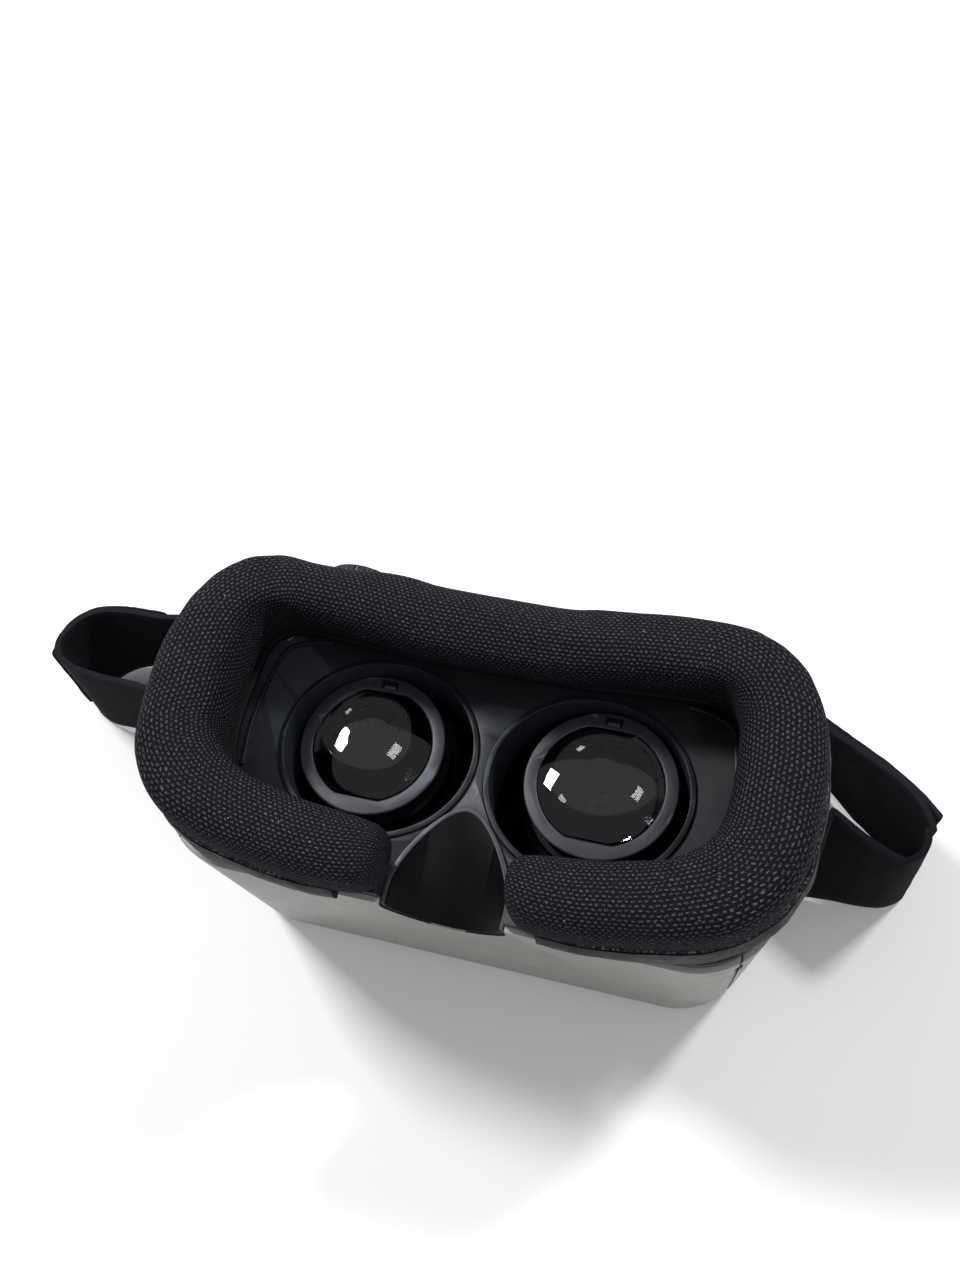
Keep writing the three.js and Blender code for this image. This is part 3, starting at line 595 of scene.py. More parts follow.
def make_housing():
    sizes = bpy.context.scene.goggle_shell
    shell = housing_block("housing_shell", 0, 0, REAR, sizes.corner)
    bevel_edges(shell, lambda edge: all(vert.co.z < 1e-6 for vert in edge.verts), sizes.fillet, 7)
    edit(shell, "FACE", facing((0, 0, 1)))
    bpy.ops.mesh.delete(type="FACE")
    done()
    tidy(shell)
    modify(shell, "SOLIDIFY", thickness=sizes.wall, offset=-1.0, use_even_offset=True)
    doorway = housing_block("doorway", 7.1 * MM, -4 * MM, 9 * MM, sizes.corner, flare=False)
    carve(shell, doorway)
    notch = slab("hinge notch", (-61 * MM, 32 * MM, -2 * MM), (61 * MM, 48 * MM, 7.3 * MM))
    carve(shell, notch, nose_cutter("nose notch", 3.3 * MM, 42 * MM, 80 * MM))
    for _, side in SIDES:
        slot = slab("shaft slot",
                    (side * SHAFT_SLOT["x"] - SHAFT_SLOT["half"], 36 * MM, SHAFT_SLOT["low"]),
                    (side * SHAFT_SLOT["x"] + SHAFT_SLOT["half"], 48 * MM, SHAFT_SLOT["high"]))
        bevel_edges(slot, along(1), 2 * MM, 6)
        carve(shell, slot)
        gap = slab("seam slot", (side * SEAM_X - SEAM_SLOT["half"], -50 * MM, SEAM_SLOT["low"]),
                   (side * SEAM_X + SEAM_SLOT["half"], -30 * MM, SEAM_SLOT["high"]))
        carve(shell, gap)
    panels = []
    for name, side in SIDES:
        panel = copy_piece(shell, f"side_cover_{name}")
        bisect(panel, (side * (SEAM_X + 0.25 * MM), 0, 0), (side, 0, 0))
        panels.append(panel)
        bisect(shell, (side * (SEAM_X - 0.25 * MM), 0, 0), (-side, 0, 0))
    lining = []
    for name, side in SIDES:
        wall = housing_block("lining", 2.6 * MM, 7 * MM, 66 * MM, sizes.corner)
        bisect(wall, (side * LINING["inner"], 0, 0), (side, 0, 0))
        bisect(wall, (side * LINING["outer"], 0, 0), (-side, 0, 0))
        lining.append(wall)
    for piece in (shell, *panels):
        round_off(piece, 0.35 * MM, 2, 40)
    for piece in (*lining, *panels):
        smooth(piece)
    gather(shell, *lining)
    smooth(shell)
    present(shell, finish("shell"), "housing", "pale_shell", "main_shell")
    shell.data.materials.append(finish("inner"))
    for face in shell.data.polygons:
        x, y, z = face.center
        ahead = face.center + face.normal * 3 * MM
        inwards = abs(ahead.x) < abs(x) - MM or (y > 0 and ahead.y < y - MM) or (y < 0 and ahead.y > y + MM)
        if 7 * MM < z < REAR - 0.6 * MM and inwards:
            face.material_index = 1
    for (name, _), panel in zip(SIDES, panels):
        present(panel, finish("shell"), "housing", "pale_shell", f"side_panel_{name}")


def copy_piece(piece, name):
    take(piece)
    bpy.ops.object.duplicate()
    other = bpy.context.object
    other.name = other.data.name = name
    return other


def bisect(piece, point, keep):
    """Cuts the piece on a plane, keeps the side that the normal points to and closes the cut."""
    edit(piece, "VERT", lambda vert: True)
    bpy.ops.mesh.bisect(plane_co=point, plane_no=keep, use_fill=True, clear_inner=True, clear_outer=False)
    done()
    return piece


# ---------------------------------------------------------------------------------------------
# Black frame round the lenses


def eye_drum(name, side, grow, low, high, sides=112):
    hole = start("cylinder", name, vertices=sides, radius=1, depth=high - low,
                 location=(side * EYE["x"], EYE["y"], (low + high) / 2))
    hole.scale = (EYE["half_x"] + grow, EYE["half_y"] + grow, 1)
    return settle(hole)


def make_frame():
    sizes = bpy.context.scene.goggle_shell
    tray = housing_block("optics_tray", 1.4 * MM, REAR + 0.2 * MM, RIM, sizes.corner)
    edit(tray, "FACE", facing((0, 0, 1)))
    bpy.ops.mesh.inset(thickness=6.4 * MM, use_even_offset=True)
    push(0, 0, PLATE - RIM)
    done()
    edit(tray, "FACE", facing((0, 0, -1)))
    bpy.ops.mesh.inset(thickness=1.6 * MM, use_even_offset=True)
    push(0, 0, -4 * MM)
    done()
    for _, side in SIDES:
        carve(tray, eye_drum("eye hole", side, EYE["wall"] + 0.2 * MM, 40 * MM, 90 * MM))
    carve(tray, nose_cutter("nose notch", 3.2 * MM, 50 * MM, 84 * MM))
    round_off(tray, 0.5 * MM, 3, 40)
    steps = []
    for name, side in SIDES:
        steps.append(make_recess_step(side))
    gather(tray, *steps)
    smooth(tray, 40)
    present(tray, finish("frame"), "housing", "black_plastic", "optics_frame")


def make_collars():
    """The sleeve round each eye opening, with the rolled lip that catches the light."""
    for name, side in SIDES:
        collar = eye_drum(f"eye_sleeve_{name}", side, EYE["wall"], 51 * MM, PLATE + 0.75 * MM)
        carve(collar, eye_drum("eye bore", side, 0, 40 * MM, 90 * MM))
        edit(collar, "FACE", facing((0, 0, 1)))
        bpy.ops.mesh.extrude_region_move()
        bpy.ops.transform.translate(value=(0, 0, 0.2 * MM))
        done()
        carve(collar, nose_cutter("sleeve notch", 3.3 * MM, 40 * MM, 84 * MM))
        round_off(collar, 0.55 * MM, 4, 50)
        smooth(collar, 40)
        present(collar, finish("frame"), "housing", "black_plastic", f"eye_collar_{name}")


def make_recess_step(side):
    """The raised step beside each eye that leaves room for a pair of spectacles."""
    route = [(-66.2, -14), (-67.6, -4), (-67.6, 6), (-66.6, 16), (-64.4, 22.9), (-60.4, 25.4), (-52, 27.2)]
    points = [(-side * x * MM, y * MM, PLATE - 0.3 * MM) for x, y in route]
    curve = smooth_path("spectacle step", points, resolution=8)
    curve.data.extrude = 1.3 * MM
    step = to_mesh(curve)
    modify(step, "SOLIDIFY", thickness=1.2 * MM, offset=0)
    return round_off(step, 0.35 * MM, 2, 40)


def make_saddle():
    """The smooth saddle that rests over the nose, from its arch down to the chin-side wall."""
    outer = nose_cutter("nose_rest", 3.0 * MM, 52 * MM, 71.4 * MM)
    carve(outer, nose_cutter("nose hollow", 1.9 * MM, 48 * MM, 76 * MM))
    keep = housing_block("saddle room", 0.4 * MM, 40 * MM, 80 * MM, 22 * MM)
    carve(outer, keep, operation="INTERSECT")
    round_off(outer, 0.55 * MM, 3, 40)
    smooth(outer, 50)
    present(outer, finish("saddle"), "housing", "black_plastic", "nose_saddle")
    # Faces that face up along the arch's top take the lighter ring finish: a painted highlight on the bead.
    outer.data.materials.append(finish("ring"))
    for face in outer.data.polygons:
        if face.normal.z > 0.4 and face.center.z > PLATE + 0.4 * MM:
            face.material_index = 1


# ---------------------------------------------------------------------------------------------
# Lens barrels


BEZEL = {"radius": 21 * MM, "bore": 17.2 * MM, "flat": 16.0 * MM}
GLASS = {"dome": 21 * MM, "sink": 6.2 * MM, "rim": 17.1 * MM, "flat": 15.9 * MM}
TUBE = {"radius": 19 * MM, "wall": 1.7 * MM, "length": 30.6 * MM}
BAFFLES = {"count": 5, "first": 2.4, "pitch": 3.6}


def make_barrels():
    for name, side in SIDES:
        low, high = (Vector(corner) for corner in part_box(f"lens_ring_{name}"))
        x, y = (low.x + high.x) / 2, (low.y + high.y) / 2
        body = f"barrel_{name}"
        ring = drum(f"lens_bezel_{name}", BEZEL["radius"], (low.z, high.z), (x, y), sides=128)
        window = drum("bezel bore", BEZEL["bore"], (low.z - MM, high.z + MM), (x, y), sides=128)
        flats = slab("bore flats", (x - 30 * MM, y - BEZEL["flat"], low.z - 2 * MM),
                     (x + 30 * MM, y + BEZEL["flat"], high.z + 2 * MM))
        carve(window, flats, operation="INTERSECT")
        carve(ring, window)
        round_off(ring, 0.55 * MM, 4, 50)
        latch = slab("latch window", (x - 2.5 * MM, y + 17.4 * MM, low.z - MM),
                     (x + 2.5 * MM, y + 19.9 * MM, high.z + MM))
        carve(ring, latch)
        tongue = slab("latch tongue", (x - 1.7 * MM, y + 17.35 * MM, low.z + 0.1 * MM),
                      (x + 1.7 * MM, y + 18.5 * MM, high.z - 0.5 * MM))
        round_off(tongue, 0.25 * MM, 2)
        gather(ring, tongue)
        smooth(ring, 40)
        present(ring, finish("ring"), body, "black_plastic", f"lens_ring_{name}")
        make_lens(name, x, y, body)
        make_barrel(name, x, y, low.z, body)


def make_lens(name, x, y, body):
    """A thick plano-domed lens with two flats ground on its edge."""
    low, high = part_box(f"lens_{name}")
    lens = start("uv_sphere", f"lens_glass_{name}", segments=96, ring_count=48, radius=1,
                 location=(x, y, low[2] + GLASS["sink"]))
    lens.scale = (GLASS["dome"], GLASS["dome"], (high[2] - low[2]) * 0.56)
    settle(lens)
    rim = drum("lens rim", GLASS["rim"], (low[2] - MM, high[2] + MM), (x, y), sides=96)
    carve(lens, rim, operation="INTERSECT")
    for way in (-1, 1):
        bisect(lens, (x, y + way * GLASS["flat"], 0), (0, -way, 0))
    smooth(lens, 30)
    present(lens, finish("lens"), body, "lens", f"lens_{name}")


def make_barrel(name, x, y, top, body):
    """The tube behind the bezel, stepped inside against stray light."""
    low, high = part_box(f"barrel_{name}")
    bottom = high[2] - TUBE["length"]
    tube = drum("tube", TUBE["radius"], (bottom, top - 0.3 * MM), (x, y), sides=96)
    edit(tube, "FACE", lambda face: abs(face.normal.z) > 0.9)
    bpy.ops.mesh.inset(thickness=TUBE["wall"])
    done()
    edit(tube, "FACE", lambda face: abs(face.normal.z) > 0.9 and face.calc_area() > 700 * MM * MM)
    bpy.ops.mesh.delete(type="FACE")
    done()
    edit(tube, "EDGE", lambda edge: edge.is_boundary)
    bpy.ops.mesh.bridge_edge_loops()
    done()
    tidy(tube)
    collar = drum("flange", 20.6 * MM, (top - 2.8 * MM, top - 0.35 * MM), (x, y), sides=96)
    carve(collar, drum("flange bore", 18.9 * MM, (top - 6 * MM, top + 4 * MM), (x, y), sides=96))
    round_off(collar, 0.3 * MM, 2)
    steps = []
    for turn in range(BAFFLES["count"]):
        level = bottom + (BAFFLES["first"] + BAFFLES["pitch"] * turn) * MM
        step = start("torus", "baffle", location=(x, y, level), major_radius=16.75 * MM,
                     minor_radius=0.75 * MM, major_segments=72, minor_segments=8)
        steps.append(settle(step))
    rack = copy_of_node(f"barrel_{name}", "rack")
    side = 1 if name == "right" else -1
    bisect(rack, (side * 42.45 * MM, 0, 0), (side, 0, 0))
    bisect(rack, (0, 25.5 * MM, 0), (0, 1, 0))
    near, far = sorted((side * 38 * MM, side * 46 * MM))
    arm = slab("rack arm", (near, 12 * MM, bottom), (far, 31 * MM, bottom + 3 * MM))
    carve(arm, drum("arm bore", 17 * MM, (0, 0.2), (x, y), sides=64))
    for piece in (rack, arm):
        round_off(piece, 0.25 * MM, 2, 40)
    gather(tube, collar, rack, arm, *steps)
    smooth(tube, 40)
    present(tube, finish("inner"), body, "black_plastic", f"barrel_{name}")


def make_knobs():
    for name, side in SIDES:
        low, high = (Vector(corner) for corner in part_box(f"focus_knob_{name}"))
        axle = ((low.x + high.x) / 2, (low.z + high.z) / 2)
        hub = drum("wheel hub", 6.5 * MM, (low.y - 1.7 * MM, low.y + 0.2 * MM), axle, axis="y", sides=48)
        radius = (high.x - low.x) / 2 - 0.3 * MM
        knob = drum(f"focus_wheel_{name}", radius, (low.y, high.y), axle, axis="y", sides=72)
        edit(knob, "FACE", lambda face: abs(face.normal.y) < 0.1
             and int(((atan2(face.normal.z, face.normal.x) + pi) / (2 * pi)) * 72 + 0.01) % 3 == 0)
        bpy.ops.mesh.extrude_region_shrink_fatten(TRANSFORM_OT_shrink_fatten={"value": -0.45 * MM})
        done()
        edit(knob, "FACE", lambda face: face.normal.y > 0.9 and face.calc_area() > 100 * MM * MM)
        bpy.ops.mesh.inset(thickness=1.6 * MM)
        push(0, -0.7 * MM, 0)
        bpy.ops.mesh.inset(thickness=3.2 * MM)
        push(0, 0.5 * MM, 0)
        done()
        round_off(knob, 0.28 * MM, 2, 40)
        gather(knob, hub)
        smooth(knob, 40)
        present(knob, finish("frame"), f"knob_{name}", "black_plastic", f"focus_knob_{name}")


# ---------------------------------------------------------------------------------------------
# Front door


def make_door():
    sizes = bpy.context.scene.goggle_shell
    door = housing_block("front_cover", 7.6 * MM, 0, 2.4 * MM, sizes.corner, flare=False)
    bisect(door, (0, HINGE.y - 4 * MM, 0), (0, -1, 0))
    edit(door, "FACE", facing((0, 0, -1)))
    bpy.ops.mesh.inset(thickness=3.5 * MM, use_even_offset=True)
    bpy.ops.mesh.inset(thickness=0.6 * MM, use_even_offset=True)
    push(0, 0, 0.35 * MM)
    done()
    grip = slab("finger notch", (-9 * MM, -36 * MM, -MM), (9 * MM, -32.6 * MM, 4 * MM))
    bevel_edges(grip, along(2), 1.5 * MM, 5)
    carve(door, grip)
    round_off(door, 0.4 * MM, 3, 40)
    knuckle = drum("hinge barrel", 3 * MM, (-60.4 * MM, 60.4 * MM), (HINGE.y, HINGE.z), axis="x", sides=40)
    web = slab("hinge web", (-60.4 * MM, 28.6 * MM, 0.4 * MM), (60.4 * MM, HINGE.y, 2.3 * MM))
    carve(knuckle, web, operation="UNION")
    for station in (-40 * MM, -20 * MM, 0, 20 * MM, 40 * MM):
        gap = drum("knuckle groove", 3.4 * MM, (station - 0.3 * MM, station + 0.3 * MM),
                   (HINGE.y, HINGE.z), axis="x", sides=40)
        carve(gap, drum("groove core", 2.6 * MM, (station - MM, station + MM),
                        (HINGE.y, HINGE.z), axis="x", sides=40))
        carve(knuckle, gap)
    round_off(knuckle, 0.15 * MM, 2, 40)
    ribs = []
    for x in (-62, -50, 50, 62):
        rib = slab("stiffening rib", ((x - 0.8) * MM, -28 * MM, 2.2 * MM),
                   ((x + 0.8) * MM, 24 * MM, 4.4 * MM))
        ribs.append(round_off(rib, 0.4 * MM, 3))
    gather(door, knuckle)
    smooth(door, 40)
    present(door, finish("shell"), "door", "pale_shell", "front_door")
    liner = housing_block("door_liner", 9 * MM, 2.3 * MM, 2.62 * MM, sizes.corner, flare=False)
    bisect(liner, (0, 28 * MM, 0), (0, -1, 0))
    gather(liner, *ribs)
    round_off(liner, 0.08 * MM, 1, 50)
    present(liner, finish("inner"), "door", "black_plastic")


# ---------------------------------------------------------------------------------------------
# Face cushion and its skirt

# Half of the line that runs round the middle of the cushion, from the nose to the forehead, in mm
CUSHION_LINE = ((17.6, -35), (28, -36.4), (44, -35), (58, -31.6), (69, -26), (75, -17), (76, -5),
                (75.8, 7.6), (73, 21), (63, 31.2), (45, 32.8), (21, 30.6), (0, 30.4))
# Half of its outer edge, where the skirt hangs
SKIRT_LINE = ((26.8, -45.2), (37, -45.4), (55.6, -43.2), (69, -39.6), (78.6, -32.4), (84.8, -20.8),
              (86.2, -10), (86.4, 7.8), (81.6, 27.6), (68.0, 39.4), (45.4, 41.0), (20.2, 38.8), (0, 37.6))


def both_sides(half):
    """The whole line, from the right end over the forehead to the left end, in metres."""
    right = [(x * MM, y * MM) for x, y in half]
    return right + [(-x, y) for x, y in reversed(right[:-1])]


def rise(x, share=1.0):
    """How much higher the cushion stands at its sides than in its middle."""
    return share * 8 * MM * (x / FRONT_HALF) ** 2


def knit_places(piece):
    """Lays the knit over the cushion: along its line, and round its section."""
    curve = smooth_path("knit guide", [(x, y, 0) for x, y in both_sides(CUSHION_LINE)], resolution=8)
    guide = to_mesh(curve)
    line = [vert.co.copy() for vert in guide.data.vertices]
    bpy.data.objects.remove(guide, do_unlink=True)
    lengths = [0.0]
    for a, b in zip(line, line[1:]):
        lengths.append(lengths[-1] + (b - a).length)
    half_turn, low, high = 12.5 * MM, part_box("face_cushion")[0][2], 98 * MM
    places = []
    for vert in piece.data.vertices:
        flat = Vector((vert.co.x, vert.co.y, 0))
        best = None
        for i in range(len(line) - 1):
            run = line[i + 1] - line[i]
            share = (flat - line[i]).dot(run) / run.length_squared
            held = min(max(share, 0.0), 1.0)
            off = (flat - line[i] - run * held)
            if best is None or off.length < best[0]:
                best = (off.length, i, held, share, run, off)
        _, i, held, share, run, off = best
        side = (run.x * off.y - run.y * off.x) / run.length
        up = vert.co.z - (low + high) / 2 - rise(vert.co.x, 0.5)
        distance = lengths[i] + run.length * held
        past = max(-share, share - 1.0, 0.0) * run.length if i in (0, len(line) - 2) else 0.0
        if past > 0.4 * MM:
            inward = max(0.0, 11.5 * MM - hypot(side, up))
            distance += -inward - past if i == 0 else inward + past
        places.extend((distance, atan2(side, up) * half_turn, 0.0))
    layer = piece.data.attributes.new("knit", "FLOAT_VECTOR", "POINT")
    layer.data.foreach_set("vector", places)


# How the pad departs from the plain solid under it, on the wearer's right and left
NOSE_END = {"reach": 30 * MM, "fade": 9 * MM, "right": 0.06, "left": 0.26}
WHEEL_DIP = {"x": 50 * MM, "half": 17 * MM, "depth": 3.0 * MM, "from_y": 28 * MM}
WIDER = {"from_x": 58 * MM, "over": 29 * MM, "right": 2.4, "left": -1.5}
FOOT = 4 * MM                  # height of the strip that is held while the cover is puffed
STEPS = 20                     # steps that the cloth is given to settle


def make_cushion():
    """The pad under its knitted cover: shaped from the plain solid, then puffed a little by pressure."""
    sizes = bpy.context.scene.goggle_cushion
    pad = copy_of_node("face_cushion", "eye_cushion")
    for vert in pad.data.vertices:
        near_nose = 0.0
        if vert.co.y < -15 * MM:
            near_nose = max(0.0, min(1.0, (NOSE_END["reach"] - abs(vert.co.x)) / NOSE_END["fade"]))
        vert.co.x *= 1 - (NOSE_END["right"] if vert.co.x > 0 else NOSE_END["left"]) * near_nose
        if vert.co.y > WHEEL_DIP["from_y"] and vert.co.x < 0:
            over_wheel = (abs(vert.co.x) - WHEEL_DIP["x"]) / WHEEL_DIP["half"]
            vert.co.y -= WHEEL_DIP["depth"] * max(0.0, 1 - over_wheel ** 2)
        beyond = max(0.0, abs(vert.co.x) - WIDER["from_x"]) / WIDER["over"]
        vert.co.x += (WIDER["right"] if vert.co.x > 0 else WIDER["left"]) * MM * beyond
    modify(pad, "REMESH", mode="VOXEL", voxel_size=sizes.voxel, use_smooth_shade=True)
    modify(pad, "SMOOTH", factor=0.6, iterations=3)
    low = min(vert.co.z for vert in pad.data.vertices)
    swell(pad, sizes, low)
    modify(pad, "SMOOTH", factor=0.5, iterations=2)
    modify(pad, "SUBSURF", levels=1, render_levels=1)
    knit_places(pad)
    take(pad)
    bpy.ops.object.shade_smooth()
    present(pad, finish("knit"), "housing", "cushion_mesh", "face_cushion")


def swell(pad, sizes, low):
    """Blows the cover up with cloth simulation, its foot held, and caps how far it moves."""
    before = [vert.co.copy() for vert in pad.data.vertices]
    foot = pad.vertex_groups.new(name="foot")
    foot.add([vert.index for vert in pad.data.vertices if vert.co.z < low + FOOT], 1.0, "REPLACE")
    take(pad)
    cloth = pad.modifiers.new("Cover", "CLOTH")
    cloth.settings.use_pressure = True
    cloth.settings.uniform_pressure_force = sizes.pressure
    cloth.settings.tension_stiffness = sizes.stiffness
    cloth.settings.compression_stiffness = sizes.stiffness
    cloth.settings.shear_stiffness = sizes.stiffness
    cloth.settings.vertex_group_mass = "foot"
    cloth.settings.effector_weights.gravity = 0
    cloth.settings.quality = 5
    for number in range(1, STEPS + 1):
        bpy.context.scene.frame_set(number)
    bpy.ops.object.modifier_apply(modifier=cloth.name)
    for vert, old in zip(pad.data.vertices, before):
        moved = vert.co - old
        if moved.length > sizes.most_move:
            vert.co = old + moved.normalized() * sizes.most_move
    pad.vertex_groups.clear()


def ruffle(piece, depth, size):
    """Moves points in and out a little, as pulled leathercloth or brushed webbing does."""
    take(piece)
    texture = bpy.data.textures.new(piece.name + " ruffle", "CLOUDS")
    texture.noise_scale = size
    texture.noise_depth = 2
    modify(piece, "DISPLACE", texture=texture, texture_coords="LOCAL", strength=depth, mid_level=0.5)
    return piece


def upright_band(name, points, low, high, rows):
    """A ribbon that stands on its edge along a flat line, as rows of square faces."""
    curve = smooth_path(name, [(x, y, 0) for x, y in points], resolution=10)
    curve.data.dimensions = "2D"
    curve.data.fill_mode = "NONE"
    curve.data.extrude = (high - low) / 2
    band = to_mesh(curve)
    edit(band, "VERT", lambda vert: True)
    bpy.ops.transform.translate(value=(0, 0, (high + low) / 2))
    bpy.ops.mesh.remove_doubles(threshold=1e-6)
    done()
    edit(band, "EDGE", along(2))
    bpy.ops.mesh.subdivide(number_cuts=rows)
    done()
    return band


SKIRT = {"height": 6.5 * MM, "thickness": 3.0 * MM, "spread": 2.4 * MM}
PIPING = 0.5 * MM


def spread_right(x):
    """How far the skirt is pulled out from under the cushion on the wearer's right."""
    return SKIRT["spread"] * max(0.0, x / (86 * MM)) ** 8


def make_skirt():
    """Leathercloth round the cushion's outer side, with the piped seam where the knit begins."""
    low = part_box("cushion_skirt")[0][2]
    high = low + SKIRT["height"]
    line = both_sides(SKIRT_LINE)
    band = upright_band("leather_skirt", line, low, high, 5)
    for vert in band.data.vertices:
        share = (vert.co.z - low) / (high - low)
        belly = sin(pi * share) * 0.8 * MM - 1.3 * MM
        away = Vector((vert.co.x, vert.co.y, 0)).normalized()
        vert.co += away * belly + Vector((spread_right(vert.co.x), 0, rise(vert.co.x, 0.6 * share)))
    modify(band, "SUBSURF", levels=1, render_levels=1)
    modify(band, "SOLIDIFY", thickness=SKIRT["thickness"], offset=0)
    ruffle(band, 0.7 * MM, 0.007)
    smooth(band, 60)
    seam_points = []
    for x, y in line:
        away = Vector((x, y, 0)).normalized() * PIPING
        seam_points.append((x - away.x + spread_right(x), y - away.y, high + rise(x, 0.6) + 0.3 * MM))
    seam = smooth_path("piping", seam_points, resolution=10)
    seam.data.bevel_depth = PIPING
    seam.data.bevel_resolution = 3
    seam.data.use_fill_caps = True
    piping = to_mesh(seam)
    ruffle(piping, 0.35 * MM, 0.004)
    smooth(piping, 60)
    plain = len(band.data.polygons)
    gather(band, piping)
    present(band, finish("leather"), "housing", "skirt_leather", "cushion_skirt")
    band.data.materials.append(finish("seam"))
    for face in band.data.polygons[plain:]:
        face.material_index = 1


def make_cushion_base():
    """The stiff board under the cushion that hooks on to the black frame."""
    board = copy_of_node("cushion_base", "cushion_board")
    modify(board, "DECIMATE", decimate_type="DISSOLVE", angle_limit=radians(2))
    round_off(board, 0.3 * MM, 2, 50)
    smooth(board, 40)
    present(board, finish("inner"), "housing", "black_plastic", "cushion_base")


# ---------------------------------------------------------------------------------------------
# Head strap

# The band's route, seen from above, in mm: round the left bar, out and back, behind the housing,
# out and back on the right and round the right bar
STRAP_LINE = ((-100, 9.6), (-94, 9), (-89.8, 8.9), (-86.2, 5), (-89.8, 1.1), (-94, 3.2), (-103, 6.4),
              (-110, 10.2), (-125, 13.2), (-140, 13.5), (-150, 15), (-156, 20), (-155, 28), (-149, 35),
              (-140, 38), (-125, 39), (-110, 41), (-96, 46), (-80, 49.5), (-40, 50), (0, 50.5),
              (40, 50.5), (66, 50.5), (84, 47), (96, 40), (107, 32), (116, 25), (121.4, 17), (122.6, 9.5),
              (118.4, 4.4), (110.4, 2.2), (101, 1.9), (94, 1.6), (89.8, 1.1), (86.2, 5), (89.8, 8.9),
              (93.4, 8.6))
TAB_LINES = {
    "left": ((-158.4, 18), (-157.4, 29), (-150.6, 37), (-140.4, 40.4), (-126, 41.4)),
    "right": ((86, 49.6), (97.4, 42.2), (108.6, 34), (118.4, 26.4), (125, 19.8)),
}


def lay_cloth(band, low):
    """Gives the band its own flat places: along its length, and up its width."""
    band.data.uv_layers.new(name="cloth")
    for other in [layer for layer in band.data.uv_layers if layer.name != "cloth"]:
        band.data.uv_layers.remove(other)
    flat = band.data.uv_layers["cloth"]
    work = bmesh.new()
    work.from_mesh(band.data)
    work.verts.ensure_lookup_table()
    bottom = [edge for edge in work.edges
              if edge.is_boundary and all(vert.co.z < low + 1e-5 for vert in edge.verts)]
    ends = [vert for vert in work.verts if vert.co.z < low + 1e-5
            and sum(1 for edge in vert.link_edges if edge in set(bottom)) == 1]
    order, seen = [ends[0]], {ends[0]}
    chain = {}
    for edge in bottom:
        for vert in edge.verts:
            chain.setdefault(vert, []).append(edge.other_vert(vert))
    while True:
        onward = [vert for vert in chain[order[-1]] if vert not in seen]
        if not onward:
            break
        order.append(onward[0])
        seen.add(onward[0])
    distance, reach = 0.0, {}
    for i, vert in enumerate(order):
        if i:
            distance += (vert.co - order[i - 1].co).length
        reach[(round(vert.co.x, 6), round(vert.co.y, 6))] = distance
    for loop in band.data.loops:
        place = band.data.vertices[loop.vertex_index].co
        flat.data[loop.index].uv = (reach[(round(place.x, 6), round(place.y, 6))], place.z - low)
    work.free()


LOOSE = {"from_x": 94, "over": 14, "half_width": 18 * MM}     # where the loops leave the housing
TWIST = {"from_x": 92, "rises": 4, "full_x": 96, "falls": 22, "keeps": 0.85, "reach": 8}


def lean(band, middle):
    """The slack ends of the loops lean outwards at the top and their edges wander a little."""
    for vert in band.data.vertices:
        up = (vert.co.z - middle) / LOOSE["half_width"]
        x, y = vert.co.x / MM, vert.co.y / MM
        out = max(0.0, min(1.0, (abs(x) - LOOSE["from_x"]) / LOOSE["over"]))
        if x > 0 and y < 14:
            rises = min(1.0, max(0.0, (x - TWIST["from_x"]) / TWIST["rises"]))
            falls = min(1.0, max(0.0, (x - TWIST["full_x"]) / TWIST["falls"]))
            twist = rises * (1 - TWIST["keeps"] * falls)
            vert.co.y += twist * (up + 1) * TWIST["reach"] * MM
        elif x > 0:
            vert.co.y += out * up * 2.4 * MM
        if x > 0:
            vert.co.x += out * up * (1.2 if y > 14 else -0.6) * MM
        else:
            vert.co.y += out * up * 1.6 * MM
        vert.co.z += out * 1.4 * MM * sin(x / 9.0) * up


def make_strap():
    sizes = bpy.context.scene.goggle_strap
    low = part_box("head_strap")[0][2]
    high = low + sizes.width
    band = upright_band("broad_strap", [(x * MM, y * MM) for x, y in STRAP_LINE], low, high, 7)
    lay_cloth(band, low)
    lean(band, (low + high) / 2)
    modify(band, "SOLIDIFY", thickness=sizes.thickness, offset=0)
    round_off(band, 0.55 * MM, 2, 60)
    ruffle(band, 0.5 * MM, 0.012)
    smooth(band, 50)
    present(band, finish("strap"), "housing", "strap_fabric", "head_strap")
    for name, _ in SIDES:
        inset = 1.5 * MM
        line = [(x * MM, y * MM) for x, y in TAB_LINES[name]]
        tab = upright_band(f"hook_patch_{name}", line, low + inset, high - inset, 5)
        lay_cloth(tab, low + inset)
        lean(tab, (low + high) / 2)
        modify(tab, "SOLIDIFY", thickness=1.1 * MM, offset=0)
        modify(tab, "SUBSURF", levels=1, render_levels=1)
        ruffle(tab, 0.6 * MM, 0.004)
        smooth(tab, 50)
        present(tab, finish("tab"), "housing", "strap_fabric", f"hook_tab_{name}")


# ---------------------------------------------------------------------------------------------
# Frame nodes that keep their own shape

NODE_FINISHES = {
    "inner": ("screen_frame", "divider", "carriage_left", "carriage_right", "phone_ledge", "phone_clamp",
              "clamp_rail_left", "clamp_rail_right", "spring_post_left", "spring_post_right"),
    "frame": ("strap_anchor_left", "strap_anchor_right"),
    "steel": ("guide_rod_upper", "guide_rod_lower", "hinge_pin", "focus_shaft_left", "focus_shaft_right",
              "clamp_spring_left", "clamp_spring_right", "strap_bar_left", "strap_bar_right",
              "frame_screw_1", "frame_screw_2", "frame_screw_3", "frame_screw_4"),
    "rubber": ("phone_pad_1", "phone_pad_2", "phone_pad_3", "phone_pad_4"),
}


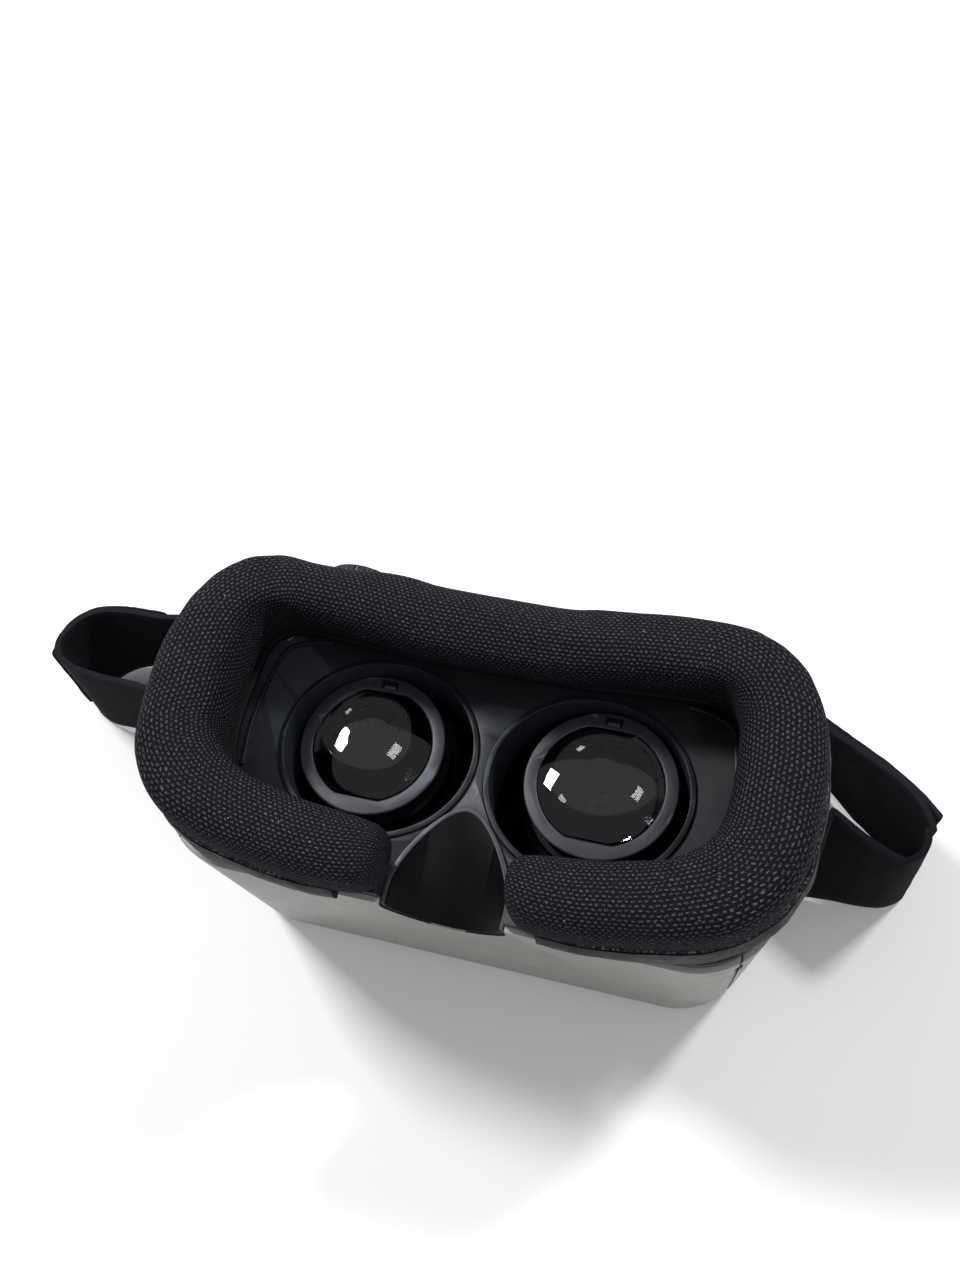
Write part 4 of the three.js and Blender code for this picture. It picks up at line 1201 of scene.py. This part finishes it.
def dress_nodes():
    """Softens the edges of the nodes that stay and gives each its finish."""
    for name, nodes in NODE_FINISHES.items():
        for node in nodes:
            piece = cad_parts[node]
            if piece.data.users > 1:
                piece.data = piece.data.copy()
            piece.data.materials.clear()
            piece.data.materials.append(finish(name))
            if not node.startswith("clamp_spring"):
                weld = piece.modifiers.new("Weld", "WELD")
                weld.merge_threshold = 1e-5
                edge = piece.modifiers.new("Edge", "BEVEL")
                edge.width = 0.25 * MM
                edge.segments = 2
                edge.limit_method = "ANGLE"
                edge.angle_limit = radians(40)


# ---------------------------------------------------------------------------------------------
# Stage


def make_stage():
    """A pale floor, soft lights and the camera."""
    scene = bpy.context.scene
    place_camera()
    floor = start("plane", "floor", size=6, location=(0, 0, -0.0006))
    paper = Finish("stage paper", (0.62, 0.62, 0.62), 0.9, Specular_IOR_Level=0.1)
    paper.colour(paper.blend(paper.noise(6, 2), (0.74, 0.74, 0.74), (0.77, 0.77, 0.77)))
    floor.data.materials.append(paper.material)
    settle(floor)
    world = bpy.data.worlds.new("studio")
    world.use_nodes = True
    world.node_tree.nodes["Background"].inputs["Color"].default_value = (1, 1, 1, 1)
    world.node_tree.nodes["Background"].inputs["Strength"].default_value = 0.45
    scene.world = world
    scene.view_settings.view_transform = "Standard"
    for name, place, size, power in LIGHTS:
        bpy.ops.object.light_add(type="AREA", location=place)
        lamp = bpy.context.object
        lamp.name = lamp.data.name = name
        lamp.data.shape = "RECTANGLE"
        lamp.data.size, lamp.data.size_y = size
        lamp.data.energy = power
        lamp.rotation_euler = (Vector((0, 0, 0.06)) - Vector(place)).to_track_quat("-Z", "Y").to_euler()


LIGHTS = (
    ("window light", (-0.62, 0.30, 0.95), (0.22, 0.18), 12.5),
    ("ceiling light", (0.52, 0.66, 0.95), (0.15, 0.15), 9.0),
    ("near fill", (0.50, -0.40, 1.1), (0.15, 0.15), 2.4),
)

# Where the camera stands and how it is turned
CAMERA = {"target": (-9.86 * MM, 36.61 * MM, 70 * MM), "azimuth": 27.43, "elevation": 62.35,
          "roll": -14.88, "distance": 334.62 * MM, "lens": 32.63}


def place_camera():
    a, e, r = (radians(CAMERA[key]) for key in ("azimuth", "elevation", "roll"))
    back = Vector((sin(a) * cos(e), -cos(a) * cos(e), sin(e)))
    level = Vector((cos(a), sin(a), 0))
    rise_way = back.cross(level)
    right = level * cos(r) + rise_way * sin(r)
    up = rise_way * cos(r) - level * sin(r)
    bpy.ops.object.camera_add(location=Vector(CAMERA["target"]) + back * CAMERA["distance"])
    camera = bpy.context.object
    camera.name = camera.data.name = "camera"
    camera.rotation_euler = Matrix((right, up, back)).transposed().to_euler()
    camera.data.lens = CAMERA["lens"]
    camera.data.sensor_width = 36
    bpy.context.scene.camera = camera


# ---------------------------------------------------------------------------------------------
# Operators, the sidebar panel and the run


class GOGGLES_OT_stage(bpy.types.Operator):
    """Sets the camera, the floor and the lights"""
    bl_idname = "goggles.stage"
    bl_label = "Stage"
    bl_options = {"REGISTER", "UNDO"}

    def execute(self, context):
        make_stage()
        return {"FINISHED"}


class GOGGLES_OT_housing(bpy.types.Operator):
    """Builds the pale housing and its side covers"""
    bl_idname = "goggles.housing"
    bl_label = "Housing"
    bl_options = {"REGISTER", "UNDO"}

    def execute(self, context):
        make_housing()
        return {"FINISHED"}


class GOGGLES_OT_optics_frame(bpy.types.Operator):
    """Builds the black frame with its eye openings"""
    bl_idname = "goggles.optics_frame"
    bl_label = "Black frame"
    bl_options = {"REGISTER", "UNDO"}

    def execute(self, context):
        make_frame()
        return {"FINISHED"}


class GOGGLES_OT_eye_collars(bpy.types.Operator):
    """Builds the sleeve round each eye opening"""
    bl_idname = "goggles.eye_collars"
    bl_label = "Eye collars"
    bl_options = {"REGISTER", "UNDO"}

    def execute(self, context):
        make_collars()
        return {"FINISHED"}


class GOGGLES_OT_nose_saddle(bpy.types.Operator):
    """Builds the saddle over the nose"""
    bl_idname = "goggles.nose_saddle"
    bl_label = "Nose saddle"
    bl_options = {"REGISTER", "UNDO"}

    def execute(self, context):
        make_saddle()
        return {"FINISHED"}


class GOGGLES_OT_barrels(bpy.types.Operator):
    """Builds the barrels, their bezels and lenses"""
    bl_idname = "goggles.barrels"
    bl_label = "Lens barrels"
    bl_options = {"REGISTER", "UNDO"}

    def execute(self, context):
        make_barrels()
        return {"FINISHED"}


class GOGGLES_OT_knobs(bpy.types.Operator):
    """Builds the two focus knobs"""
    bl_idname = "goggles.knobs"
    bl_label = "Focus knobs"
    bl_options = {"REGISTER", "UNDO"}

    def execute(self, context):
        make_knobs()
        return {"FINISHED"}


class GOGGLES_OT_door(bpy.types.Operator):
    """Builds the hinged front door"""
    bl_idname = "goggles.door"
    bl_label = "Front door"
    bl_options = {"REGISTER", "UNDO"}

    def execute(self, context):
        make_door()
        return {"FINISHED"}


class GOGGLES_OT_cushion(bpy.types.Operator):
    """Builds the padded cushion and its board"""
    bl_idname = "goggles.cushion"
    bl_label = "Face cushion"
    bl_options = {"REGISTER", "UNDO"}

    def execute(self, context):
        make_cushion()
        make_cushion_base()
        return {"FINISHED"}


class GOGGLES_OT_skirt(bpy.types.Operator):
    """Builds the leathercloth skirt and its piping"""
    bl_idname = "goggles.skirt"
    bl_label = "Skirt"
    bl_options = {"REGISTER", "UNDO"}

    def execute(self, context):
        make_skirt()
        return {"FINISHED"}


class GOGGLES_OT_strap(bpy.types.Operator):
    """Builds the strap and its hook patches"""
    bl_idname = "goggles.strap"
    bl_label = "Head strap"
    bl_options = {"REGISTER", "UNDO"}

    def execute(self, context):
        make_strap()
        return {"FINISHED"}


class GOGGLES_OT_fittings(bpy.types.Operator):
    """Finishes the parts that keep the frame's own shape"""
    bl_idname = "goggles.fittings"
    bl_label = "Fittings"
    bl_options = {"REGISTER", "UNDO"}

    def execute(self, context):
        dress_nodes()
        return {"FINISHED"}


BUILDERS = (
    GOGGLES_OT_stage,
    GOGGLES_OT_housing,
    GOGGLES_OT_optics_frame,
    GOGGLES_OT_eye_collars,
    GOGGLES_OT_nose_saddle,
    GOGGLES_OT_barrels,
    GOGGLES_OT_knobs,
    GOGGLES_OT_door,
    GOGGLES_OT_cushion,
    GOGGLES_OT_skirt,
    GOGGLES_OT_strap,
    GOGGLES_OT_fittings,
)


class GOGGLES_PT_panel(bpy.types.Panel):
    """Lists the goggles' pieces in the sidebar."""
    bl_label = "Viewing goggles"
    bl_idname = "GOGGLES_PT_panel"
    bl_space_type = "VIEW_3D"
    bl_region_type = "UI"
    bl_category = "Goggles"

    def draw(self, context):
        for settings in ("goggle_shell", "goggle_cushion", "goggle_strap"):
            box = self.layout.box()
            group = getattr(context.scene, settings)
            for name in group.__annotations__:
                box.prop(group, name)
        for operator in BUILDERS:
            self.layout.operator(operator.bl_idname)


CLASSES = (ShellSettings, CushionSettings, StrapSettings, *BUILDERS, GOGGLES_PT_panel)
SETTINGS = {"goggle_shell": ShellSettings, "goggle_cushion": CushionSettings, "goggle_strap": StrapSettings}


def register():
    for entry in CLASSES:
        bpy.utils.register_class(entry)
    for name, group in SETTINGS.items():
        setattr(bpy.types.Scene, name, bpy.props.PointerProperty(type=group))


def unregister():
    for name in SETTINGS:
        delattr(bpy.types.Scene, name)
    for entry in reversed(CLASSES):
        bpy.utils.unregister_class(entry)


def main():
    register()
    for operator in BUILDERS:
        getattr(bpy.ops.goggles, operator.bl_idname.split(".")[1])()
    put_down()


if __name__ == "__main__":
    main()
